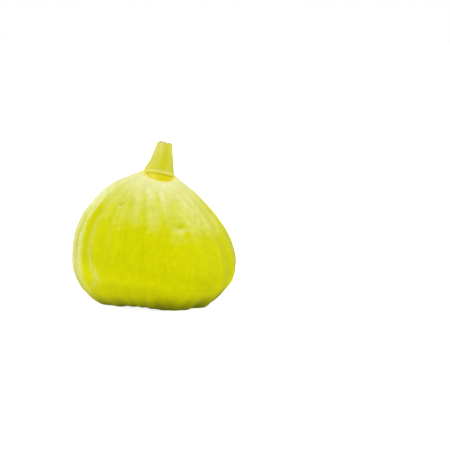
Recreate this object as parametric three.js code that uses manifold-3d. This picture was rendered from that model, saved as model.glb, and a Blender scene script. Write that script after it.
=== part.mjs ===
// A fresh fig: a squat, ribbed fruit that stands on its own base, with its cut stalk
// on top and the rosette of small scales that closes its eye underneath.
//
// Frame: millimetres, +Z up, the fruit's best side towards -Y. The origin is on the
// surface that the fruit rests on, under the middle of its outline.
//
// The skin is a grid of columns and rows. A column is named by its place s among the
// ribs, so that whole numbers are crests, and a row by its share v of the profile, from
// the rim of the eye (0) to the rim of the collar (1). Azimuth 0 faces -Y, and azimuth
// grows towards +X.

import * as THREE from 'three';
import { mergeVertices } from 'three/addons/utils/BufferGeometryUtils.js';
import Module from 'manifold-3d';

const { clamp, degToRad, euclideanModulo, lerp, smoothstep } = THREE.MathUtils;
const TURN = 2 * Math.PI;

// ---------------------------------------------------------------- driving dimensions

// Profile of the plump fruit before it slumps: distance from the axis, height.
const PROFILE = [
  [4.3, 1.3],
  [10.3, 0.2],
  [16.3, 0.3],
  [21.3, 3.4],
  [24.4, 7.6],
  [25.9, 11.8],
  [25.65, 17.8],
  [23.25, 24.35],
  [19.05, 30.1],
  [14.25, 34.9],
  [10.75, 37.25],
  [8.5, 38.65],
  [5.75, 40.95],
];

// The fruit leans by shearing, as a soft thing sags: its far side stays up.
const SLUMP_RIGHT = Math.tan(degToRad(9.2));
const SLUMP_FRONT = Math.tan(degToRad(11));
const BASE_SHARE = 0.27;
const CROWN_SHIFT = 0.95;
const NECK_SHIFT = new THREE.Vector2(0.95, -1.5);

// Three low lobes of the base carry the fruit, flattened where they rest.
const LOBE_HEIGHT = 0.96;
const LOBE_AZIMUTH = degToRad(46);
const REST_LEVEL = 0.4;
const REST_ROUNDING = 0.35;

// Ribs run from the eye to the collar, with finer ones between them low down.
const RIB_COUNT = 20;
const RIB_START = degToRad(-2.6);
const RIB_RELIEF = 1.0;
const RIB_CREST_LEVEL = 0.7;
const RIB_SHARPNESS = 1.2;
const FINE_RIB_RELIEF = 0.22;
const RIB_UNEVEN_SPACING = degToRad(3.4);
const RIB_WANDER = degToRad(1.0);
const RIB_WANDER_WAVES = 1.6;
const RIB_GATHER = degToRad(24);
const RIB_GATHER_AZIMUTH = degToRad(8);
const NECK_TWIST = degToRad(14);
const SMOOTH_SIDE = degToRad(14);
const SMOOTH_SIDE_LOSS = 0.74;
const SPACING_SEED = 22348;
const BOLDNESS_SEED = 24227;
const WANDER_SEED = 7;

// The grid of the skin.
const COLUMNS = RIB_COUNT * 5;
const ROWS = 32;

// The collar's socket, which holds the foot of the stalk. Across its front the rim rises
// to the left and dips to the right.
const SOCKET_RADIUS = 5.1;
const SOCKET_LIP_RADIUS = 5.52;
const SOCKET_LIP_DROP = 0.4;
const SOCKET_FLOOR = 38.0;
const COLLAR_CENTRE = new THREE.Vector2(2.05, -1.5);
const COLLAR_WAVE_HEIGHT = 0.45;
const COLLAR_WAVE_AZIMUTH = degToRad(-12);

// The recess of the eye, in the middle of the base.
const EYE_RADIUS = 4.1;
const EYE_FLOOR = 3.9;

// Cross-sections of the stalk from its foot up: each is a ring about a centre x, lifted and
// tilted by a share of what its lip has. A flare widens the ring's front and sides, so that
// the back goes straight down into the socket.
const STALK_SECTIONS = [
  { height: SOCKET_FLOOR, radius: 4.45, x: 2.05, tilt: 0, flare: 0 },
  { height: 39.0, radius: 4.5, x: 2.05, tilt: 0.3, flare: 0 },
  { height: 39.5, radius: 4.48, x: 2.08, tilt: 0.8, flare: 0 },
  { height: 39.85, radius: 4.42, x: 2.1, tilt: 1, flare: 0.02 },
  { height: 40.2, radius: 4.5, x: 2.12, tilt: 1, flare: 0.24 },
  { height: 40.6, radius: 4.54, x: 2.14, tilt: 1, flare: 0.38 },
  { height: 41.35, radius: 4.6, x: 2.24, tilt: 1, flare: 0.2 },
  { height: 42.05, radius: 4.62, x: 2.42, tilt: 1, flare: 0.05 },
  { height: 42.85, radius: 4.36, x: 2.63, tilt: 0.9, flare: 0 },
  { height: 43.95, radius: 3.95, x: 2.89, tilt: 0.8, flare: 0 },
  { height: 45.35, radius: 3.49, x: 3.19, tilt: 0.7, flare: 0 },
  { height: 46.95, radius: 3.06, x: 3.44, tilt: 0.6, flare: 0 },
  { height: 48.5, radius: 2.68, x: 3.7, tilt: 0.6, flare: 0 },
  { height: 50.0, radius: 2.32, x: 3.94, tilt: 0.6, flare: 0 },
];
// The cut end: a rounded rim, then a shallow dish, with a nub where the last strip tore.
const CUT_SECTIONS = [
  { height: 50.6, radius: 2.18, x: 4.02, tilt: 0.6, flare: 0 },
  { height: 50.78, radius: 2.0, x: 4.04, tilt: 0.6, flare: 0 },
  { height: 50.65, radius: 1.64, x: 4.04, tilt: 0.6, flare: 0 },
  { height: 50.5, radius: 0.85, x: 4.04, tilt: 0.6, flare: 0 },
];
const STALK_CENTRE_Y = -1.5;
const STALK_COLUMNS = 36;
const LIP_HEIGHT = 41.6;
const LIP_ARCH_TOP = 49;
const LIP_ARCH = 1.47;
const TILT_RIGHT = -0.164;
const STALK_RIDGES = 9;
const STALK_RIDGE_RELIEF = 0.1;
const STALK_RIDGE_TWIST = 0.15;
const STALK_OVALNESS = 0.035;
const STALK_OVAL_TWIST = 0.3;
const CUT_NUB_HEIGHT = 0.45;
const CUT_NUB_AZIMUTH = degToRad(-35);

// Eye scales: rings of overlapping bracts that lean over the eye.
const SCALE_PLATE_RADIUS = 3.4;
const SCALE_PLATE_THICKNESS = 0.7;
const SCALE_PLATE_BEVEL = 0.3;
const SCALE_PLATE_COLUMNS = 24;
const SCALE_RINGS = [
  { count: 8, radius: 2.4, length: 2.9, width: 2.5, drop: 1.1, lean: degToRad(24) },
  { count: 6, radius: 1.55, length: 2.7, width: 2.2, drop: 1.65, lean: degToRad(20) },
  { count: 4, radius: 0.75, length: 2.1, width: 1.8, drop: 2.1, lean: degToRad(14) },
];
const SCALE_THICKNESS = 0.75;
const SCALE_TIP_NARROWING = 0.45;
const SCALE_ROLL = 0.12;
const SCALE_UNEVEN_SPACING = 0.25;
const SCALE_SEED = 11;

// ---------------------------------------------------------------- shared helpers

/** A repeatable draw between 0 and 1 for item i. */
function draw(i, seed) {
  const wave = Math.sin(i * 12.9898 + seed * 78.233) * 43758.5453;
  return wave - Math.floor(wave);
}

/** A value that is set at each rib's crest and runs straight between them. */
function betweenRibs(s, valueAtRib) {
  const rib = Math.floor(s);
  return lerp(valueAtRib(rib), valueAtRib(rib + 1), s - rib);
}

/** A closed geometry through stacked rings of equal length, from the lowest face up. */
function loftRings(rings) {
  const count = rings[0].length;
  const positions = rings.flat().flatMap((point) => point.toArray());
  const triangles = [];
  for (let row = 0; row < rings.length - 1; row += 1) {
    for (let column = 0; column < count; column += 1) {
      const next = (column + 1) % count;
      const a = row * count + column;
      const b = row * count + next;
      triangles.push(a, b, b + count, a, b + count, a + count);
    }
  }
  const ends = [rings[0], rings[rings.length - 1]];
  ends.forEach((ring, end) => {
    const centre = ring.reduce((sum, point) => sum.add(point), new THREE.Vector3());
    centre.divideScalar(count);
    const hub = positions.length / 3;
    positions.push(...centre.toArray());
    const first = end * (rings.length - 1) * count;
    for (let column = 0; column < count; column += 1) {
      const here = first + column;
      const next = first + (column + 1) % count;
      triangles.push(...(end ? [hub, here, next] : [hub, next, here]));
    }
  });
  const geometry = new THREE.BufferGeometry();
  geometry.setAttribute('position', new THREE.Float32BufferAttribute(positions, 3));
  geometry.setIndex(triangles);
  geometry.computeVertexNormals();
  return geometry;
}

/** A level circle of points about a centre in plan. */
function levelRing(centre, radius, height, count) {
  return Array.from({ length: count }, (_, column) => {
    const azimuth = (column / count) * TURN;
    const x = centre.x + radius * Math.sin(azimuth);
    const y = centre.y - radius * Math.cos(azimuth);
    return new THREE.Vector3(x, y, height);
  });
}

// ---------------------------------------------------------------- skin of the fruit

const profile = new THREE.SplineCurve(PROFILE.map(([r, h]) => new THREE.Vector2(r, h)));

/** The azimuth of column s at the fruit's widest, before the ribs gather or twist. */
function ribAzimuth(s, v) {
  return betweenRibs(s, (rib) => {
    const i = euclideanModulo(rib, RIB_COUNT);
    const even = (rib / RIB_COUNT) * TURN + RIB_START;
    const uneven = RIB_UNEVEN_SPACING * (2 * draw(i, SPACING_SEED) - 1);
    const phase = RIB_WANDER_WAVES * v + draw(i, WANDER_SEED);
    return even + uneven + RIB_WANDER * Math.sin(TURN * phase);
  });
}

/** The azimuth after the ribs gather towards the front low down and twist at the neck. */
function gatheredAzimuth(azimuth, v) {
  const low = 1 - smoothstep(v, 0.35, 0.95);
  const gather = RIB_GATHER * Math.sin(azimuth - RIB_GATHER_AZIMUTH) * low;
  const twist = NECK_TWIST * smoothstep(v, 0.8, 0.98);
  return azimuth - (gather + twist) * Math.cos(azimuth / 2) ** 2;
}

/** How boldly the rib or ribs at column s stand out, from a half to one. */
function boldness(s) {
  return betweenRibs(s, (rib) => (1 + draw(euclideanModulo(rib, RIB_COUNT), BOLDNESS_SEED)) / 2);
}

/** How far the ribs lift the skin off the plump form, or sink it where negative. */
function ribHeight(s, v, azimuth) {
  const across = TURN * (s - Math.floor(s));
  const main = ((1 + Math.cos(across)) / 2) ** RIB_SHARPNESS - RIB_CREST_LEVEL;
  const fine = FINE_RIB_RELIEF * Math.cos(2 * across) * (1 - smoothstep(v, 0.4, 0.62));
  const side = 1 - SMOOTH_SIDE_LOSS * Math.cos((azimuth - SMOOTH_SIDE) / 2) ** 4;
  const fade = (1 - smoothstep(v, 0.86, 0.99)) * (0.5 + 0.5 * smoothstep(v, 0.25, 0.55));
  return RIB_RELIEF * boldness(s) * side * fade * (main + fine);
}

/** Settles a height on the rest level, with a rounded edge round the flat. */
function settle(height) {
  const z = height - REST_LEVEL;
  if (z <= -REST_ROUNDING) return 0;
  if (z < REST_ROUNDING) return (z + REST_ROUNDING) ** 2 / (4 * REST_ROUNDING);
  return z;
}

/** A point of the skin at column s and row v. */
function skinPoint(s, v) {
  const around = ribAzimuth(s, v);
  const azimuth = gatheredAzimuth(around, v);
  const lobes = LOBE_HEIGHT * Math.cos(3 * (azimuth - LOBE_AZIMUTH));
  const lobe = lobes * smoothstep(v, 0.06, 0.16) * (1 - smoothstep(v, 0.24, 0.5));
  const lift = ribHeight(s, v, around) + lobe;
  const along = profile.getTangent(v);
  const plump = profile.getPoint(v);
  const radius = plump.x + lift * along.y;
  const height = plump.y - lift * along.x;
  const x = radius * Math.sin(azimuth);
  const y = -radius * Math.cos(azimuth);
  const rightShare = lerp(BASE_SHARE, 1, smoothstep(height, 2, 22));
  const frontShare = smoothstep(height, 4, 26);
  const slumped = height - rightShare * SLUMP_RIGHT * x + frontShare * SLUMP_FRONT * y;
  const neck = smoothstep(v, 0.86, 1);
  const frontWave = Math.sin(2 * (azimuth - COLLAR_WAVE_AZIMUTH)) * Math.cos(azimuth / 2) ** 2;
  return new THREE.Vector3(
    x + CROWN_SHIFT * smoothstep(height, 0, 22) + NECK_SHIFT.x * neck,
    y + NECK_SHIFT.y * neck,
    settle(slumped) - COLLAR_WAVE_HEIGHT * frontWave * smoothstep(v, 0.9, 1),
  );
}

/** The fruit's one solid, with the eye's recess below and the stalk's socket above. */
function figBody() {
  const eyeWall = levelRing(new THREE.Vector2(), EYE_RADIUS, EYE_FLOOR, COLUMNS);
  const places = Array.from({ length: COLUMNS }, (_, column) => (column / COLUMNS) * RIB_COUNT);
  const shares = Array.from({ length: ROWS + 1 }, (_, row) => row / ROWS);
  const skin = shares.map((v) => places.map((s) => skinPoint(s, v)));
  const rim = skin[ROWS];
  const towardsCentre = (point, radius, z) => {
    const spoke = new THREE.Vector2(point.x, point.y).sub(COLLAR_CENTRE).setLength(radius).add(COLLAR_CENTRE);
    return new THREE.Vector3(spoke.x, spoke.y, z);
  };
  const lip = rim.map((point) => towardsCentre(point, SOCKET_LIP_RADIUS, point.z - SOCKET_LIP_DROP));
  const socketWall = rim.map((point) => towardsCentre(point, SOCKET_RADIUS, SOCKET_FLOOR));
  return loftRings([eyeWall, ...skin, lip, socketWall]);
}

// ---------------------------------------------------------------- stalk

/** A point of the stalk on one of its sections. */
function stalkPoint({ height, radius, x, tilt, flare }, azimuth) {
  const rise = height - SOCKET_FLOOR;
  const stem = smoothstep(height, SOCKET_FLOOR, LIP_HEIGHT);
  const ridge = STALK_RIDGE_RELIEF * Math.cos(STALK_RIDGES * azimuth + STALK_RIDGE_TWIST * rise);
  const oval = STALK_OVALNESS * Math.sin(2 * azimuth + STALK_OVAL_TWIST * rise);
  const flared = flare * smoothstep(Math.cos(azimuth), -0.9, -0.1);
  const across = radius + flared + (radius * oval + ridge) * stem;
  const outX = across * Math.sin(azimuth);
  const outY = -across * Math.cos(azimuth);
  const arch = LIP_ARCH * (1 - smoothstep(height, LIP_HEIGHT, LIP_ARCH_TOP)) * Math.cos(azimuth / 2) ** 4;
  const z = height + tilt * (TILT_RIGHT * outX + arch);
  return new THREE.Vector3(x + outX, STALK_CENTRE_Y + outY, z);
}

/** A point of the cut end, lifted where the nub stands. */
function cutPoint(section, azimuth) {
  const point = stalkPoint(section, azimuth);
  const facing = Math.max(0, Math.cos(azimuth - CUT_NUB_AZIMUTH));
  point.z += CUT_NUB_HEIGHT * facing ** 3 * (section.radius / CUT_SECTIONS[0].radius);
  return point;
}

/** The cut stalk: a foot in the socket, a flared lip, a tapering stem and a dished cut. */
function stalk() {
  const azimuths = Array.from({ length: STALK_COLUMNS }, (_, column) => (column / STALK_COLUMNS) * TURN);
  const stem = STALK_SECTIONS.map((section) => azimuths.map((azimuth) => stalkPoint(section, azimuth)));
  const cut = CUT_SECTIONS.map((section) => azimuths.map((azimuth) => cutPoint(section, azimuth)));
  return loftRings([...stem, ...cut]);
}

// ---------------------------------------------------------------- eye scales

const wasm = await Module();
wasm.setup();

/** A manifold solid of a closed geometry. */
function solidOf(geometry) {
  const bare = geometry.clone();
  bare.deleteAttribute('normal');
  bare.deleteAttribute('uv');
  const merged = mergeVertices(bare, 1e-5);
  const mesh = new wasm.Mesh({
    numProp: 3,
    vertProperties: new Float32Array(merged.attributes.position.array),
    triVerts: new Uint32Array(merged.index.array),
  });
  return new wasm.Manifold(mesh);
}

/** A geometry of a manifold solid. */
function geometryOf(solid) {
  const mesh = solid.getMesh();
  const geometry = new THREE.BufferGeometry();
  geometry.setAttribute('position', new THREE.BufferAttribute(mesh.vertProperties, 3));
  geometry.setIndex(new THREE.BufferAttribute(mesh.triVerts, 1));
  geometry.computeVertexNormals();
  return geometry;
}

/** One bract: a thick oval leaf that narrows to a blunt tip at its inner end. */
function bract(length, width) {
  const geometry = new THREE.SphereGeometry(0.5, 8, 6);
  const position = geometry.attributes.position;
  for (let i = 0; i < position.count; i += 1) {
    const inward = clamp(position.getY(i) + 0.5, 0, 1);
    const narrowed = 1 - SCALE_TIP_NARROWING * inward ** 2;
    position.setXYZ(
      i,
      position.getX(i) * width * narrowed,
      position.getY(i) * length,
      position.getZ(i) * SCALE_THICKNESS,
    );
  }
  return geometry;
}

/** The rosette: a round plate on the recess's floor, with rings of bracts under it. */
function eyeScales() {
  const centre = new THREE.Vector2();
  const underside = EYE_FLOOR - SCALE_PLATE_THICKNESS;
  const plate = loftRings([
    levelRing(centre, SCALE_PLATE_RADIUS - SCALE_PLATE_BEVEL, underside, SCALE_PLATE_COLUMNS),
    levelRing(centre, SCALE_PLATE_RADIUS, underside + SCALE_PLATE_BEVEL, SCALE_PLATE_COLUMNS),
    levelRing(centre, SCALE_PLATE_RADIUS, EYE_FLOOR, SCALE_PLATE_COLUMNS),
  ]);
  let solid = solidOf(plate);
  SCALE_RINGS.forEach((ring, level) => {
    for (let i = 0; i < ring.count; i += 1) {
      const uneven = (draw(i, SCALE_SEED + level) - 0.5) * SCALE_UNEVEN_SPACING;
      const angle = ((i + 0.5 * level + uneven) / ring.count) * TURN;
      const leaf = bract(ring.length, ring.width);
      leaf.rotateX(-ring.lean);
      leaf.rotateY(SCALE_ROLL);
      leaf.translate(0, -ring.radius, EYE_FLOOR - ring.drop);
      leaf.rotateZ(angle);
      solid = solid.add(solidOf(leaf));
    }
  });
  return geometryOf(solid);
}

// ---------------------------------------------------------------- the fig

/** A named mesh with its own material. */
function piece(name, geometry, finish) {
  const mesh = new THREE.Mesh(geometry, new THREE.MeshStandardMaterial(finish));
  mesh.name = name;
  return mesh;
}

const fruit = new THREE.Group();
fruit.add(piece('fig_body', figBody(), { color: 0xd3d62a, roughness: 0.5, metalness: 0 }));
fruit.add(piece('stalk', stalk(), { color: 0xcfd04c, roughness: 0.6, metalness: 0 }));
fruit.add(piece('eye_scales', eyeScales(), { color: 0xb48a52, roughness: 0.75, metalness: 0 }));

const outline = new THREE.Box3().setFromObject(fruit);
const middle = outline.getCenter(new THREE.Vector3());
fruit.position.set(-middle.x, -middle.y, 0);

const fig = new THREE.Group();
fig.add(fruit);

export default fig;
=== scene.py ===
"""A fresh green fig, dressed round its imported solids.

The fruit, its cut stalk and the scales that close its eye are built again from the fruit's own
formula on fine grids, then given their finishes. The formulas work in millimetres in the fruit's own
frame: azimuth 0 faces -Y and azimuth grows towards +X. A column of the skin is named by its place s
among the ribs, so that whole numbers are crests, and a row by its share v of the profile, from the
rim of the eye (0) to the rim of the collar (1).
"""

import logging
import math
from dataclasses import dataclass, field
from enum import Enum

import bpy
import numpy as np
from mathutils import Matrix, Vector, noise


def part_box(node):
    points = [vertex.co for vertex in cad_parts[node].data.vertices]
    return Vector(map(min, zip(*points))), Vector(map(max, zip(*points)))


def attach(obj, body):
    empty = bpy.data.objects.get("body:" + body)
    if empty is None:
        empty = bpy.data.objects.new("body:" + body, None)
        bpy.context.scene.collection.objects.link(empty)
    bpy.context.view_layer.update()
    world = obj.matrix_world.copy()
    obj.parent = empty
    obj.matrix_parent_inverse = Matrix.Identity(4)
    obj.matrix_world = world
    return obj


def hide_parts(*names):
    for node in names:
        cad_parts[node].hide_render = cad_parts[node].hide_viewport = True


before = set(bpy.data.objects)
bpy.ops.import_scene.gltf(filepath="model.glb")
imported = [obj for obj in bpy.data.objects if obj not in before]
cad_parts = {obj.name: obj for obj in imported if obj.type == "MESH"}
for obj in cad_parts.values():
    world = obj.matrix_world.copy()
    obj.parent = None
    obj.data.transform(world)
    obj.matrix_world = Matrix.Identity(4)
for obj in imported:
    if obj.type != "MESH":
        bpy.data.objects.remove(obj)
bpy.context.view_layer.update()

LOG = logging.getLogger("fig")
BODY = "root"
PACKED_COLUMNS_PER_RIB = 5
PACKED_ROWS = 32
MM = 0.001
TURN = 2 * math.pi
WHITE = (1.0, 1.0, 1.0)

Colour = tuple[float, float, float]
Values = np.ndarray
Span = tuple[float, float]
Feed = bpy.types.NodeSocket | float | tuple
Feeds = dict[str | int, Feed] | tuple[Feed, ...]


# ---------------------------------------------------------------- sums that the forms share


def smoothstep(value: Values | float, low: float, high: float) -> Values | float:
    """Eases a value from 0 at low to 1 at high.

    Args:
        value: What is eased.
        low: Where the ease starts.
        high: Where it ends.

    Returns:
        A share from 0 to 1.
    """
    share = np.clip((value - low) / (high - low), 0.0, 1.0)
    return share * share * (3 - 2 * share)


def mix(low: Values | float, high: Values | float, share: Values | float) -> Values | float:
    """Runs straight from low to high as share goes from 0 to 1."""
    return low + (high - low) * share


def away_from(azimuth: Values, middle: float) -> Values:
    """Gives the angle from a middle to an azimuth, the short way round."""
    return (azimuth - middle + math.pi) % TURN - math.pi


def bell(distance: Values, half_width: float, sharpness: int = 2) -> Values:
    """Gives 1 in the middle, falling away past the half width, with flatter tops where it is sharper."""
    return np.exp(-(np.abs(distance / half_width) ** sharpness))


def spun(across: Values, along: Values, angle: float) -> tuple[Values, Values]:
    """Turns two coordinates by an angle."""
    sine, cosine = math.sin(angle), math.cos(angle)
    return across * cosine - along * sine, across * sine + along * cosine


def draw(item: Values | float, seed: int) -> Values | float:
    """Gives a repeatable draw between 0 and 1 for each item."""
    wave = np.sin(item * 12.9898 + seed * 78.233) * 43758.5453
    return wave - np.floor(wave)


def spline(stations: Values, share: Values) -> Values:
    """Follows a smooth line that passes through every station.

    Args:
        stations: The stations, one row each.
        share: How far along, from 0 at the first station to 1 at the last.

    Returns:
        A row for each share.
    """
    last = len(stations) - 1
    along = np.clip(share, 0.0, 1.0) * last
    here = np.floor(along).astype(int)
    before = stations[np.where(here == 0, here, here - 1)]
    start = stations[np.minimum(here, last)]
    end = stations[np.minimum(here + 1, last)]
    after = stations[np.minimum(here + 2, last)]
    w = (along - here)[..., None]
    leave = (end - before) / 2
    arrive = (after - start) / 2
    cubic = 2 * start - 2 * end + leave + arrive
    square = -3 * start + 3 * end - 2 * leave - arrive
    return cubic * w**3 + square * w**2 + leave * w + start


def noise_at(points: Values, size: float, seed: float) -> Values:
    """Gives smooth noise, about -1 to 1, at points in millimetres.

    Args:
        points: The points, with their three numbers on the last axis.
        size: The width of the noise's lumps, in millimetres.
        seed: Shifts the noise, so that two of them differ.

    Returns:
        A number for each point.
    """
    flat = points.reshape(-1, 3) / size + seed
    made = [noise.noise(Vector(point)) for point in flat]
    return np.array(made).reshape(points.shape[:-1])


# ---------------------------------------------------------------- meshes


@dataclass
class Loft:
    """A closed skin through stacked rings, with a hub that closes each end."""

    rings: list[Values] = field(default_factory=list)
    marks: dict[str, list[Values]] = field(default_factory=dict)

    def add(self, ring: Values, **marks: Values | float) -> None:
        """Adds a ring above the last one.

        Args:
            ring: Its points, in millimetres, one row each.
            marks: Values for the ring's points, by the name of their attribute.
        """
        self.rings.append(ring)
        for name, value in marks.items():
            shape = ring.shape if np.ndim(value) == 2 else ring.shape[:1]
            self.marks.setdefault(name, []).append(np.broadcast_to(value, shape))

    def add_rows(self, points: Values, marks: dict[str, Values]) -> None:
        """Adds a ring for each row of a grid, with the grid's marks."""
        for row, ring in enumerate(points):
            self.add(ring, **{name: values[row] for name, values in marks.items()})

    def build(self, name: str, shift: Vector) -> bpy.types.Object:
        """Makes the mesh object.

        Args:
            name: The name of the object.
            shift: Moves the fruit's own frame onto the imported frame, in millimetres.

        Returns:
            The object, in metres, shaded smooth.
        """
        rows, columns = len(self.rings), len(self.rings[0])
        hubs = [self.rings[0].mean(0), self.rings[-1].mean(0)]
        points = (np.vstack([*self.rings, *hubs]) + np.array(shift)) * MM
        row, column = np.meshgrid(np.arange(rows - 1), np.arange(columns), indexing="ij")
        here = (row * columns + column).ravel()
        beside = (row * columns + (column + 1) % columns).ravel()
        faces = np.stack([here, beside, beside + columns, here + columns], 1).tolist()
        top = (rows - 1) * columns
        foot_hub, top_hub = rows * columns, rows * columns + 1
        sides = [(i, (i + 1) % columns) for i in range(columns)]
        faces += [(foot_hub, b, a) for a, b in sides]
        faces += [(top_hub, top + a, top + b) for a, b in sides]
        mesh = bpy.data.meshes.new(name)
        mesh.from_pydata(points.tolist(), [], faces)
        mesh.validate()
        for mark, values in self.marks.items():
            stack = np.vstack if values[0].ndim == 2 else np.hstack
            write_mark(mesh, mark, stack([*values, values[0].mean(0), values[-1].mean(0)]))
        mesh.shade_smooth()
        made = bpy.data.objects.new(name, mesh)
        bpy.context.scene.collection.objects.link(made)
        return made


def write_mark(mesh: bpy.types.Mesh, name: str, values: Values) -> None:
    """Stores a number, or a vector, for each vertex as a named attribute.

    Args:
        mesh: The mesh that keeps it.
        name: The attribute's name.
        values: One number, or one row of three, for each vertex.
    """
    vector = values.ndim == 2
    made = mesh.attributes.new(name, "FLOAT_VECTOR" if vector else "FLOAT", "POINT")
    made.data.foreach_set("vector" if vector else "value", values.astype(np.float32).ravel())


def level_ring(radius: float, height: Values | float, columns: int) -> Values:
    """Gives a circle of points about the upright axis, in millimetres.

    Args:
        radius: Its radius.
        height: Its height, or the height of each of its points.
        columns: How many points it has.

    Returns:
        The points, one row each.
    """
    azimuth = np.arange(columns) / columns * TURN
    height = np.broadcast_to(height, columns)
    return np.stack([radius * np.sin(azimuth), -radius * np.cos(azimuth), height], 1)


# ---------------------------------------------------------------- node trees


class Socket(Enum):
    """The kinds of socket that a node group has."""

    VALUE = "NodeSocketFloat"
    PLACE = "NodeSocketVector"


class Bench:
    """Lays out, sets and joins the nodes of one tree."""

    ACROSS = 9
    STEP = (230, -300)

    def __init__(self, tree: bpy.types.NodeTree) -> None:
        """Starts on a tree and empties it."""
        self.tree = tree
        self.tree.nodes.clear()

    def node(self, kind: str, feeds: Feeds = (), **settings: object) -> bpy.types.Node:
        """Adds a node.

        Args:
            kind: The node's type.
            feeds: What its inputs get, by name or number, or in their order.
            settings: Its own settings, by name.

        Returns:
            The node.
        """
        made = self.tree.nodes.new(kind)
        row, column = divmod(len(self.tree.nodes) - 1, self.ACROSS)
        made.location = (column * self.STEP[0], row * self.STEP[1])
        for name, value in settings.items():
            setattr(made, name, value)
        self.feed_all(made.inputs, feeds)
        return made

    def feed(self, socket: bpy.types.NodeSocket, value: Feed) -> None:
        """Joins a socket to another, or sets its own value.

        Args:
            socket: The input.
            value: An output, a number, a colour or a vector.
        """
        if isinstance(value, bpy.types.NodeSocket):
            self.tree.links.new(value, socket)
        elif socket.type == "RGBA":
            socket.default_value = (*value, 1.0)
        else:
            socket.default_value = value

    def feed_all(self, inputs: bpy.types.NodeInputs, feeds: Feeds) -> None:
        """Feeds several inputs, by name or number, or in their order."""
        for name, value in feeds.items() if isinstance(feeds, dict) else enumerate(feeds):
            self.feed(inputs[name], value)

    def math(
        self, operation: str, first: Feed, second: Feed = 0.0, third: Feed = 0.0
    ) -> bpy.types.NodeSocket:
        """Adds a sum of up to three values."""
        return self.node("ShaderNodeMath", (first, second, third), operation=operation).outputs[0]

    def times(self, first: Feed, second: Feed) -> bpy.types.NodeSocket:
        """Multiplies two values."""
        return self.math("MULTIPLY", first, second)

    def weighed(self, base: Feed, *parts: tuple[Feed, float]) -> bpy.types.NodeSocket:
        """Adds values to a base.

        Args:
            base: What they are added to.
            parts: The values, each with its own weight.

        Returns:
            The sum.
        """
        for value, weight in parts:
            base = self.math("MULTIPLY_ADD", value, weight, base)
        return base

    def ease(
        self, value: Feed, low: float, high: float, start: float = 0.0, end: float = 1.0
    ) -> bpy.types.NodeSocket:
        """Eases a value between two ends: start at and below low, end at and above high."""
        feeds = (value, low, high, start, end)
        return self.node("ShaderNodeMapRange", feeds, interpolation_type="SMOOTHSTEP").outputs[0]

    def fade(self, value: Feed, span: Span, start: float = 1.0, end: float = 0.0) -> bpy.types.NodeSocket:
        """Eases a value from start to end over a span."""
        return self.ease(value, *span, start, end)

    def blend(self, share: Feed, under: Feed, over: Feed, mode: str = "MIX") -> bpy.types.NodeSocket:
        """Lays one colour over another. The node's sockets 6 and 7, and its output 2, are for colours."""
        feeds = {"Factor": share, 6: under, 7: over}
        return self.node("ShaderNodeMix", feeds, data_type="RGBA", blend_type=mode).outputs[2]

    def layered(self, ground: Feed, *coats: tuple[Feed, Feed]) -> bpy.types.NodeSocket:
        """Lays coats over a ground, one after another.

        Args:
            ground: The lowest colour.
            coats: How much of each coat shows, with its colour.

        Returns:
            The colour.
        """
        for share, colour in coats:
            ground = self.blend(share, ground, colour)
        return ground

    def noise(self, place: Feed, scale: Feed, detail: float, roughness: float) -> bpy.types.NodeSocket:
        """Adds smooth noise from 0 to 1, with so many finer layers, each so strong."""
        feeds = {"Vector": place, "Scale": scale, "Detail": detail, "Roughness": roughness}
        return self.node("ShaderNodeTexNoise", feeds).outputs["Fac"]

    def bent(self, place: Feed, by: Feed, scale: Feed, detail: float) -> bpy.types.NodeSocket:
        """Bends a place by smooth noise.

        Args:
            place: The place.
            by: How far it is bent along each axis.
            scale: How fine the noise is.
            detail: How many finer layers the noise has.

        Returns:
            The bent place.
        """
        feeds = {"Vector": place, "Scale": scale, "Detail": detail}
        drift = self.node("ShaderNodeTexNoise", feeds).outputs["Color"]
        return self.node("ShaderNodeVectorMath", (drift, by, place), operation="MULTIPLY_ADD").outputs[0]

    def marks(self, *names: str) -> list[bpy.types.NodeSocket]:
        """Reads numbers that the mesh keeps as its own attributes."""
        return [self.node("ShaderNodeAttribute", attribute_name=name).outputs["Fac"] for name in names]

    def grain(self) -> bpy.types.NodeSocket:
        """Reads the mesh's own coordinates along its grain."""
        return self.node("ShaderNodeAttribute", attribute_name="grain").outputs["Vector"]

    def place(self) -> bpy.types.NodeSocket:
        """Gives the surface's place in the frame, in millimetres."""
        feeds = {"Vector": self.node("ShaderNodeTexCoord").outputs["Object"], "Scale": 1 / MM}
        return self.node("ShaderNodeVectorMath", feeds, operation="SCALE").outputs[0]

    def effect(self, tree: bpy.types.NodeTree, **feeds: Feed) -> bpy.types.NodeOutputs:
        """Places one of the shared effects, with what its inputs get, and gives its outputs."""
        return self.node("ShaderNodeGroup", feeds, node_tree=tree).outputs

    def grey(self, value: Feed) -> bpy.types.NodeSocket:
        """Turns a value into a grey."""
        return self.node("ShaderNodeCombineColor", (value, value, value)).outputs[0]

    def relief(self, height: Feed, strength: float) -> bpy.types.NodeSocket:
        """Turns a height in millimetres into a normal."""
        feeds = {"Distance": MM, "Strength": strength, "Height": height}
        return self.node("ShaderNodeBump", feeds).outputs[0]


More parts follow.
